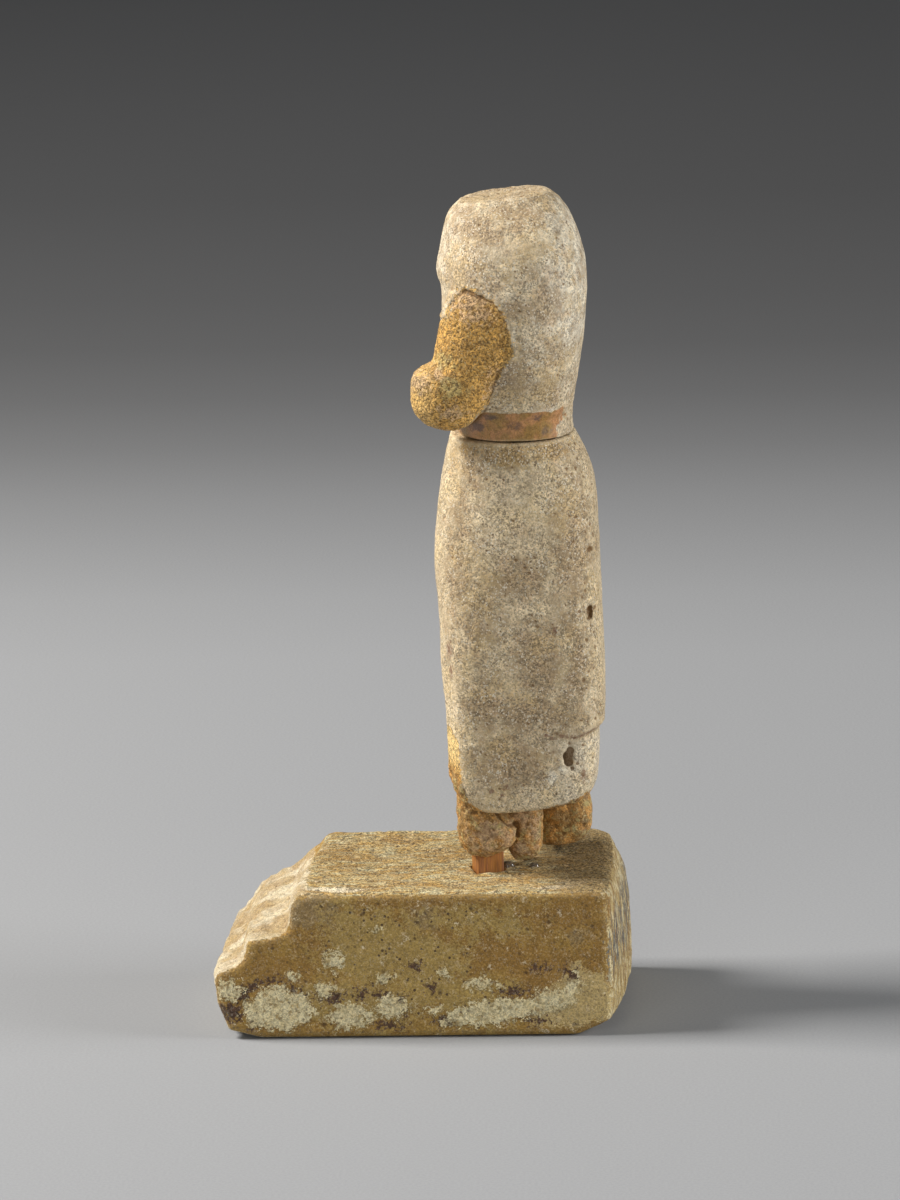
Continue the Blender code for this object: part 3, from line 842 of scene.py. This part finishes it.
def plinth_side_colour(paint, tone):
    """Yellow brown stone with rusty, greyed, yellowed and paler dotted places."""
    dotted = paint.patch("dotted", 4, 2.6, 1.6, tone)
    return paint.coats(
        "stone",
        ("ochre", paint.clouds(6, 0.3), 0.75),
        ("ochre", paint.patch("rusty", 3, 3, 1.8), 0.75),
        ("greyed", paint.patch("greyed", 2.6, 2.4, 1.4), 0.75),
        ("dotted", dotted, 0.70),
        ("stain", paint.product(paint.specks(0.70, 0.24), dotted), 0.85),
        ("yellow", paint.patch("yellow", 1.4, 2, 0.70, tone), 0.80),
    )


def plinth_end_colour(paint):
    """Yellowish back end with pale places, and blue grey streaks at half its height."""
    upright = paint.stretched(1, 1, 0.16)
    height = add(paint.tree, "SeparateXYZ", {"Vector": paint.place}).outputs["Z"]
    above_middle = maths(paint.tree, "SUBTRACT", height, GREY_STREAKS_Z * MM)
    from_middle = maths(paint.tree, "ABSOLUTE", above_middle)
    streaked = eased(paint.tree, from_middle, 0.003, 0.009, 1, 0.15)
    return paint.coats(
        "yellow",
        ("ochre", paint.clouds(1.6, 4, place=upright)),
        ("crust", paint.clouds(2.6, 4.6, 0.50, 0.60), 0.8),
        ("grey", paint.product(paint.layers(upright, 0.9, 3, 0.6, 0.45, 0.54), streaked), 0.90),
    )


def plinth_break_colour(paint):
    """Cream crust in the broken steps, with ochre and yellow places."""
    return paint.coats(
        "white",
        ("ochre", paint.clouds(7, 6.9, 0.36, 0.62), 0.72),
        ("yellow", paint.clouds(3.4, 2.2, 0.36, 0.66), 0.35),
    )


def plinth_top_colour(paint, tone, laid, layers):
    """Granular top in thin layers, with cream strips along its near edge."""
    flecks = paint.layers(laid, 0.7, 3, 0.6, 0.56, 0.64)
    colour = paint.coats(
        "top",
        ("stone", layers, 0.85),
        ("ochre", paint.clouds(5, 1.1, 0.44, 0.62, paint.stretched(1, 0.4, 1)), 0.55),
        ("white", paint.patch("cream", 1.6, 2, 0.7, tone, laid), 0.75),
        ("ochre", flecks, 0.60),
        ("stain", flecks, 0.20),
        # painted shadow of the figure on the back part of the top
        ("dull", paint.marked("dull"), 0.80),
    )
    return paint.toned(colour, tone, 0.28, 1.70)


def plinth_stone(settings, height_mm=0.12):
    """Brown stone with pale crust patches, dark stains, a granular top and streaks on its back end."""
    paint = Paint("weathered_plinth_stone", settings)
    grain = paint.grain(settings.grain)
    tone = grain["Tone"]
    front = paint.patch("front", 2.2, 2.2, 0.80, tone)
    face = paint.coats(
        plinth_side_colour(paint, tone),
        (plinth_end_colour(paint), paint.patch("end", 1.6, 1.2, 0.40, tone)),
        (plinth_break_colour(paint), front, 0.90),
    )
    laid = paint.stretched(1, 0.22, 1)
    layers = paint.layers(laid, 1.1, 4, 0.7, 0.36, 0.60)
    upward = paint.product(paint.mapped("upward", 0.80, 0.99), paint.without(front))
    holes = paint.clouds(1, 6.3, 0.55, 0.62)
    crust = paint.product(paint.patch("crust", 1.6, 1.5, 0.14, tone), paint.without(holes, 0.65))
    pale = paint.coat("crust", "yellow", paint.clouds(1.7, 2.2), 0.5)
    # Share of the painted shade in hollows: less of it in the broken steps
    painted_shade_share = eased(paint.tree, front, 0, 1, 0.65, 0.20)
    colour = paint.coats(
        paint.toned(face, tone, 0.72, 1.26),
        (plinth_top_colour(paint, tone, laid, layers), upward),
        (paint.toned("stain", tone, 0.5, 2), paint.patch("stain", 1.7, 0.9, 0.16, tone)),
        (paint.toned(pale, tone, 0.62, 1.30), crust),
        ("stain", paint.specks(0.7, 0.35), 0.45),
        ("white", grain["Bright"], 0.16),
        # painted highlight on raised points and painted shade in hollows, with less of the shade in the
        # broken steps
        ("top", paint.mapped("ridge", 0.03, 0.16, 0, 0.10)),
        ("stain", paint.product(paint.mapped("ridge", -0.14, -0.02, 1, 0), painted_shade_share)),
    )
    roughness = eased(paint.tree, grain["Bright"], 0, 1, 0.82, 0.34)
    layered = paint.product(paint.product(layers, upward), 1.2)
    height = paint.sum(grain["Height"], layered, paint.product(crust, 1.5))
    return paint.finish(colour, roughness, height, height_mm, 0.45)


def dowel_wood(settings, height_mm=0.08):
    """Softwood with upright grain."""
    paint = Paint("sawn_dowel_wood", settings)
    along = paint.stretched(1.0, 1.0, 0.06)
    lines = noise(paint.tree, along, 1000 / 0.55, 3.0, 0.6)
    fibre = noise(paint.tree, along, 1000 / 0.16, 2.0, 0.6)
    colour = paint.coat("wood", "wood_dark", eased(paint.tree, lines, 0.44, 0.58))
    colour = blend(paint.tree, 1.0, colour, eased(paint.tree, fibre, 0.3, 0.7, 0.7, 1.3), "MULTIPLY")
    colour = paint.coat(colour, "wood_dark", paint.clouds(2.4, 1), 0.25)
    roughness = eased(paint.tree, lines, 0.3, 0.7, 0.5, 0.7)
    return paint.finish(colour, roughness, maths(paint.tree, "ADD", lines, fibre), height_mm)


def clear_glue(settings):
    """Glue that has set clear, a little yellowed."""
    paint = Paint("clear_glue", settings)
    fill(paint.tree, paint.shader, {
        "Base Color": paint.colour("glue"), "Transmission Weight": 0.85, "Roughness": 0.05, "IOR": 1.48,
    })
    paint.tree.nodes.remove(paint.place.node)
    return paint.material


def studio_paper(settings):
    """Pale paper sweep with painted shade: darker towards its far part, as if that part lay outside the
    light.
    """
    paint = Paint("studio_paper", settings)
    behind = add(paint.tree, "SeparateXYZ", {"Vector": paint.place}).outputs["X"]
    share = add(paint.tree, "MapRange", {"Value": behind, "From Min": -PAPER_DEPTH, "From Max": 0.0})
    fading = add(paint.tree, "ValToRGB", {"Fac": share.outputs["Result"]})
    stops = fading.color_ramp.elements
    for place_on, share_of_near in PAPER_PAINTED_SHADE:
        stop = stops.new(place_on) if place_on else stops[0]
        stop.color = as_rgba(np.array(settings.floor) * share_of_near)
    stops[-1].color = as_rgba(settings.floor)
    tone = eased(paint.tree, noise(paint.tree, paint.place, 1000 / 0.6, 2.0, 0.6), 0.3, 0.7, 0.96, 1.04)
    colour = blend(paint.tree, 1.0, fading.outputs["Color"], tone, "MULTIPLY")
    fill(paint.tree, paint.shader, {"Base Color": colour, "Roughness": 0.9})
    return paint.material


# Pieces


def figure_material():
    """The stone that both fragments share."""
    made = bpy.data.materials.get("weathered_figure_stone")
    return made or figure_stone(bpy.context.scene.statuette_figure)


class STATUETTE_OT_torso(Operator):
    """Torso and arms: crust, bare left arm and fist, neck break and waist band"""

    bl_idname = "statuette.torso"
    bl_label = "Torso and arms"

    def execute(self, context):
        settings = context.scene.statuette_figure
        skin = Surface("torso", "torso_and_arms", settings.torso_fineness)
        skin.relax(3)
        skin.soften(14, *ELBOW_EDGE, from_x=8)
        skin.soften(30, *NECK_RIM_EDGE)
        x, y, z = skin.points.T
        side = from_side(skin.points)

        # How deep each point lies in the bare arm, past the neck break and in the waist band
        wander = 1.7 * skin.rough(5.0, 18, 3)
        inner_edge = 3.2 + 0.035 * (z - ELBOW_Z) ** 2
        bare = depth_inside(side, BARE_ARM) + wander * ramp(8 - y, 0, 5)
        bare = np.minimum(bare, x - inner_edge + 1.6 * wander)
        bare += ramp(z, *UPPER_ARM) * 0.9 * skin.rough(2.4, 17, 3)
        broken = z - np.minimum(slope_height(y, *NECK_BREAK), slope_height(y, *NECK_BACK_RIM))
        wave = 0.7 * skin.rough(2.6, 3, 3)
        back_edge = BAND_BACK_Y + 2.4 * wave - y + 0.3 * (z - WAIST_Z)
        waist = np.minimum(WAIST_Z + BAND_HEIGHT + wave - z, back_edge)
        waist = np.minimum(waist, -bare - 0.1)

        # Lumpy crust with a lip round the sunk, sugary core, the splintered break and a beaded edge
        base = 0.16 * skin.rough(6.0, 11) + 0.07 * skin.rough(1.8, 12)
        lip = 0.16 * bell(bare, 0, 0.7) * (bare < 0) * ramp(z, 124, 130)
        sunk = ramp(bare, -0.05, 0.35) * (0.05 + 0.30 * ramp(z, 143, 149))
        sugary = ramp(bare, 0, 0.6) * (0.10 * skin.rough(0.9, 13) + 0.14 * skin.rough(2.4, 14))
        on_break = ramp(broken, -0.35, 0.05) * ramp(skin.normals[:, 2], 0.35, 0.75)
        hollowed = ramp(6.5 - np.hypot(x, y - 19.5), 0, 3)
        splintered = on_break * (0.30 * skin.rough(2.2, 15, 3) - 0.35 * hollowed)
        smooth = 1 - ramp(waist, -0.2, 0.3)
        beaded = 0.22 * ramp(y, 28, 29.5) * ramp(6 - np.abs(z - WAIST_Z - 3), 0, 2) * skin.rough(1, 16)
        carved = lip - sunk + splintered + beaded - 0.10 * ramp(waist, -0.15, 0.25)
        skin.push((base + sugary) * smooth + carved)
        crusted = (bare < -0.5) & (waist < -0.5) & (broken < -1)
        skin.pit(260, 21, crusted, (0.30, 0.65), (0.05, 0.20))
        skin.pit(170, 22, bare > 0.3, (0.25, 0.55), (0.05, 0.18))
        skin.pit(50, 23, on_break > 0.6, (0.35, 0.80), (0.10, 0.35))
        skin.hollow(NECK_HOLLOWS, skin.points[:, :2], on_break > 0.1)

        x, y, z = skin.points.T
        # Painted light: whiter crust towards the back at arm height, where the rim light falls, and at
        # the front of the shoulders, where the key light falls
        painted_light = 0.65 * ramp(y, 24, 30) * ramp(z, 130, 142)
        painted_light += 0.30 * ramp(13 - y, 0, 5) * ramp(z, 146, 152)
        skin.mark(
            core=bare * (1 - 0.6 * ramp(z, *UPPER_ARM)), waist=waist,
            tan=NOWHERE, red=NOWHERE, dark=NOWHERE,
            soil=np.maximum(skin.in_patches(TORSO_SOIL_AND_SHADE), 1.6 * on_break - 0.6),
            grey=skin.in_patches(GREY_SPOTS), mauve=skin.in_patches(MAUVE_SPOTS),
            olive=skin.in_patches(OLIVE_SPOTS), rust=0,
            # white: painted light over the whole torso from the base share and from the painted light
            # above, and real white chips
            white=0.22 + painted_light + ramp(skin.in_patches(WHITE_CHIPS), -0.1, 0.4),
            pale=0.35 * ramp(7 - y, 0, 4) + 0.35 * ramp(1.6 - bare, 0, 1.6), ridge=skin.ridges(8),
        )
        skin.finish("torso", "figure_stone", figure_material())
        return {"FINISHED"}


class STATUETTE_OT_skirt(Operator):
    """Long skirt with its pits and worn hem, and the brown stubs of the legs"""

    bl_idname = "statuette.skirt"
    bl_label = "Skirt and leg stubs"

    def execute(self, context):
        settings = context.scene.statuette_figure
        skin = Surface("skirt_and_legs", "skirt_and_leg_stubs", settings.skirt_fineness)
        skin.relax(3)
        x, y, z = skin.points.T
        skin.relax(16, SOFTENING * bell(y, *FLAKE_SIDE_EDGE) * ramp(FLAKE_TOP - z, 0, 1))
        x, y, z = skin.points.T
        side = from_side(skin.points)

        # How deep each point lies below the hem and in the bare strip down the front
        hem = np.interp(y, HEM_ALONG, HEM_HEIGHT) - 0.4 - z
        arched = 7 * ((x - STRIP_MIDDLE_X) / STRIP_HALF_WIDTH) ** 2
        strip_top = STRIP_TOP - arched + 3.4 * skin.rough(6.0, 30, 3)
        strip = np.minimum(np.interp(z, STRIP_HEIGHTS, STRIP_BACK_Y) - y, strip_top - z)
        legs = ramp(hem, -0.1, 0.3)

        # Even crust on the skirt, rocky stubs fluted in front, the crack and the worn strip
        base = 0.18 * skin.rough(7.0, 31) + 0.08 * skin.rough(1.9, 32)
        rocky = 0.55 * skin.rough(2.8, 33, 3) + 0.14 * skin.rough(1.0, 34)
        fluted = 0.20 * skin.rough(0.8, 35, 2, (1, 1, 8)) * ramp(10.5 - y, 0, 1.5)
        crack = distance_to_line(side, LEG_CRACK)
        crack = -0.85 * ramp(0.5 - crack, 0, 0.4) * (x > 5) * ramp(hem, 0.1, 0.6)
        worn_strip = ramp(strip, -0.1, 0.4) * (0.12 * skin.rough(1.4, 36) - 0.12)
        skin.push(base * (1 - legs) + legs * (rocky + fluted) + crack + worn_strip)
        crusted = (hem < -1.5) & (z < WAIST_Z - 0.8)
        skin.pit(480, 41, crusted, (0.30, 0.70), (0.05, 0.20))
        skin.pit(70, 42, crusted & (y > 30) & (x > 0), (0.40, 0.85), (0.15, 0.40))
        skin.pit(120, 43, hem > 0.4, (0.40, 0.90), (0.10, 0.35))
        on_left = (skin.points[:, 0] > 5) & (skin.normals[:, 0] > 0)
        skin.hollow(SKIRT_HOLLOWS, from_side(skin.points), on_left)

        x, y, z = skin.points.T
        # Painted shadow: a dark red line along the flake's step, kept with the red spots
        flake_step_shadow = 0.22 - distance_to_line(from_side(skin.points), FLAKE_EDGE) - 3 * (x <= 0)
        below_flake = ramp(y, 25, 29) * ramp(59.5 - z, 0, 1.5)
        skin.mark(
            core=np.maximum(hem, strip), waist=NOWHERE, grey=NOWHERE, soil=skin.in_patches(SKIRT_SOIL),
            tan=skin.in_patches(TAN_BELOW_WAIST), red=np.maximum(skin.in_patches(RED_SPOTS), flake_step_shadow),
            dark=skin.in_patches(PAINTED_SHADE_HOLLOWS), mauve=skin.in_patches(MAUVE_STUBS),
            olive=skin.in_patches(OLIVE_SPOTS), rust=ramp(hem, -0.5, 0.6),
            white=np.maximum(ramp(skin.in_patches(WHITE_CHIPS), -0.1, 0.4), 0.45 * below_flake),
            pale=0.85 * ramp(strip, -0.5, 0.5) * ramp(z, 50, 56) + 0.18 * ramp(hem, 0, 1),
            ridge=skin.ridges(8),
        )
        skin.finish("skirt_and_legs", "figure_stone", figure_material())
        return {"FINISHED"}


class STATUETTE_OT_plinth(Operator):
    """Block plinth whose front end has broken away in two steps"""

    bl_idname = "statuette.plinth"
    bl_label = "Plinth"

    def execute(self, context):
        settings = context.scene.statuette_plinth
        skin = Surface("plinth", "broken_plinth", settings.fineness)
        skin.relax(3)
        x, y, z = skin.points.T
        side = from_side(skin.points)
        facing = skin.relaxed(skin.normals, 12)
        facing /= np.linalg.norm(facing, axis=1)[:, None]
        upward = ramp(facing[:, 2], 0.3, 0.8)
        steps = ramp(STEPS_Y - y, 0, 2) * ramp(1 - np.abs(facing[:, 0]), 0.3, 0.6)
        standing = ramp(z, 0.15, 0.9)

        # How deep each point of the near side lies in the pale crust and in the dark stains
        near = ramp(x, *NEAR_FACE_X)
        crust = np.maximum(depth_in_patches(side, PALE_PATCHES), depth_inside(side, PALE_BAND))
        crust = np.where(x > NEAR_SIDE_X, crust, -5.0)
        trail = 0.5 - distance_to_line(side, STAIN_TRAIL)
        stain = np.maximum(depth_in_patches(side, DARK_STAINS), trail) - 5.0 * ramp(20 - x, 0, 6)

        # Granular stone in thin layers on top, jagged steps, raised crust and an undercut foot
        base = 0.30 * skin.rough(11.0, 51) + 0.14 * skin.rough(3.2, 52)
        granular = 0.12 * skin.rough(1.5, 53, 3) * (1 - 0.6 * steps)
        layered = 0.18 * skin.rough(1.4, 54, 2, (1, 5, 1)) * upward
        jagged = (0.9 - 1.6 * np.abs(skin.rough(5.5, 55, 3))) * steps * (1 - 0.7 * near) - 0.25 * steps
        raised = 0.12 * ramp(crust, -0.1, 0.4) * near
        undercut = 0.5 * ramp(1.1 - z, 0, 1) * ramp(0.8 - np.abs(facing[:, 2]), 0, 0.3)
        skin.push((base + granular + layered + jagged + raised) * standing - undercut)
        skin.pit(260, 61, (z > 1.5) & (steps < 0.5), (0.5, 1.1), (0.06, 0.28))
        skin.pit(50, 62, (z > 1.5) & (steps > 0.5), (0.5, 1.2), (0.03, 0.10))
        skin.points[:, 2] = np.maximum(skin.points[:, 2], 0.0)
        skin.find_normals()

        y = skin.points[:, 1]
        yellow = depth_inside(from_side(skin.points), YELLOW_CORNER)
        yellow -= 4 * (skin.points[:, 0] <= NEAR_SIDE_X)
        skin.mark(
            crust=crust, stain=stain, yellow=yellow,
            rusty=skin.in_patches(RUSTY_STAINS, NEAR_SIDE_X, 4),
            greyed=skin.in_patches(GREYED_FACE, NEAR_SIDE_X, 4),
            dotted=skin.in_patches(DOTTED_FACE, NEAR_SIDE_X, 4),
            cream=depth_in_patches(skin.points[:, [1, 0]], CREAM_TOP), front=4 * steps - 1.6,
            end=3 * (facing[:, 1] - 0.55) + 0.35 * skin.rough(4, 71), upward=upward,
            # the back part of the top carries the painted shadow of the figure
            dull=ramp(y, 21, 31), ridge=skin.ridges(10),
        )
        skin.finish("plinth", "plinth_stone", plinth_stone(settings))
        return {"FINISHED"}


class STATUETTE_OT_dowel(Operator):
    """Squared wooden dowel between the left leg and the plinth"""

    bl_idname = "statuette.dowel"
    bl_label = "Dowel"

    def execute(self, context):
        settings = context.scene.statuette_dowel
        skin = Surface("dowel", "squared_dowel", settings.fineness)
        skin.relax(2)
        skin.push(0.05 * skin.rough(0.6, 81, 2, (1, 1, 14)))
        skin.finish("dowel", "dowel_wood", dowel_wood(settings))
        return {"FINISHED"}


class STATUETTE_OT_glue(Operator):
    """Two drops of clear glue beside the dowel's foot"""

    bl_idname = "statuette.glue"
    bl_label = "Glue drops"

    def execute(self, context):
        width = context.scene.statuette_dowel.drop_width / MM
        glue = clear_glue(context.scene.statuette_dowel)
        for count, (x, y, share) in enumerate(GLUE_DROPS, 1):
            mesh = bmesh.new()
            bmesh.ops.create_icosphere(mesh, subdivisions=4, radius=width / 2 * share)
            points = np.array([v.co for v in mesh.verts])
            lumpy = 1 + 0.18 * rough(points + 9 * count, 0.9, 90 + count)
            for vertex, swell in zip(mesh.verts, lumpy):
                vertex.co = Vector((vertex.co.x * swell, vertex.co.y * 1.3 * swell,
                                    max(vertex.co.z * 1.1, -0.6)))
                vertex.co = (vertex.co + Vector((x, y, PLINTH_TOP))) * MM
            data = bpy.data.meshes.new(f"glue_drop_{count}")
            mesh.to_mesh(data)
            mesh.free()
            data.shade_smooth()
            data.materials.append(glue)
            drop = bpy.data.objects.new(data.name, data)
            context.scene.collection.objects.link(drop)
            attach(drop, BODY)
        return {"FINISHED"}


class STATUETTE_OT_stage(Operator):
    """Paper sweep, studio lights and the camera"""

    bl_idname = "statuette.stage"
    bl_label = "Studio"

    def execute(self, context):
        settings = context.scene.statuette_stage
        self.lay_paper(studio_paper(settings))
        for name, (place, side, power, colour) in LIGHTS.items():
            self.hang_light(name, place, side, getattr(settings, power), colour)
        world = context.scene.world or bpy.data.worlds.new("studio_air")
        context.scene.world = world
        world.use_nodes = True
        back = world.node_tree.nodes["Background"]
        back.inputs["Color"].default_value = SKY_COLOUR
        back.inputs["Strength"].default_value = settings.sky
        self.set_camera(settings.distance)
        context.scene.view_settings.view_transform = "Standard"
        return {"FINISHED"}

    def lay_paper(self, paper):
        mesh = bmesh.new()
        bmesh.ops.create_grid(mesh, x_segments=2, y_segments=2, size=PAPER_HALF_SIZE)
        data = bpy.data.meshes.new("paper_floor")
        mesh.to_mesh(data)
        mesh.free()
        data.materials.append(paper)
        floor = bpy.data.objects.new("paper_floor", data)
        floor.location.z = PAPER_Z
        bpy.context.scene.collection.objects.link(floor)

    def hang_light(self, name, place, side, power, colour):
        """A square softbox turned to the figure."""
        data = bpy.data.lights.new(name, "AREA")
        data.shape = "SQUARE"
        data.size = side
        data.energy = power
        data.color = colour
        light = bpy.data.objects.new(name, data)
        light.location = place
        towards = LIT_POINT - Vector(place)
        light.rotation_euler = towards.to_track_quat("-Z", "Y").to_euler()
        bpy.context.scene.collection.objects.link(light)

    def set_camera(self, distance):
        """The photograph's view: from the figure's left, a little behind and above, rolled slightly."""
        level = Vector((math.sin(VIEW_AZIMUTH), -math.cos(VIEW_AZIMUTH), 0))
        back = level * math.cos(VIEW_ELEVATION) + Vector((0, 0, math.sin(VIEW_ELEVATION)))
        right = Vector((math.cos(VIEW_AZIMUTH), math.sin(VIEW_AZIMUTH), 0))
        up = back.cross(right)
        turned_right = right * math.cos(VIEW_ROLL) - up * math.sin(VIEW_ROLL)
        turned_up = right * math.sin(VIEW_ROLL) + up * math.cos(VIEW_ROLL)
        data = bpy.data.cameras.new("camera")
        data.lens = LENS_AT_VIEW_DISTANCE * distance / VIEW_DISTANCE
        data.sensor_width = SENSOR_WIDTH
        data.clip_start = 0.01
        camera = bpy.data.objects.new("camera", data)
        axes = Matrix((turned_right, turned_up, back)).transposed()
        camera.matrix_world = Matrix.Translation(VIEW_TARGET + back * distance) @ axes.to_4x4()
        bpy.context.scene.collection.objects.link(camera)
        bpy.context.scene.camera = camera


class STATUETTE_PT_panel(Panel):
    """Lists the pieces and their settings"""

    bl_label = "Statuette"
    bl_space_type = "VIEW_3D"
    bl_region_type = "UI"
    bl_category = "Statuette"

    def draw(self, context):
        for operator in OPERATORS:
            self.layout.operator(operator.bl_idname)
        for name in SETTINGS:
            group = getattr(context.scene, name)
            box = self.layout.box()
            for key in group.__annotations__:
                box.prop(group, key)


OPERATORS = (
    STATUETTE_OT_plinth, STATUETTE_OT_dowel, STATUETTE_OT_glue, STATUETTE_OT_skirt,
    STATUETTE_OT_torso, STATUETTE_OT_stage,
)
SETTINGS = {
    "statuette_figure": FigureSettings, "statuette_plinth": PlinthSettings,
    "statuette_dowel": DowelSettings, "statuette_stage": StageSettings,
}


def register():
    for group in SETTINGS.values():
        bpy.utils.register_class(group)
    for name, group in SETTINGS.items():
        setattr(bpy.types.Scene, name, PointerProperty(type=group))
    for made in (*OPERATORS, STATUETTE_PT_panel):
        bpy.utils.register_class(made)


def unregister():
    for made in (STATUETTE_PT_panel, *reversed(OPERATORS)):
        bpy.utils.unregister_class(made)
    for name in SETTINGS:
        delattr(bpy.types.Scene, name)
    for group in SETTINGS.values():
        bpy.utils.unregister_class(group)


def main():
    """Builds every piece in order."""
    register()
    bpy.ops.statuette.plinth()
    bpy.ops.statuette.dowel()
    bpy.ops.statuette.glue()
    bpy.ops.statuette.skirt()
    bpy.ops.statuette.torso()
    bpy.ops.statuette.stage()


if __name__ == "__main__":
    main()
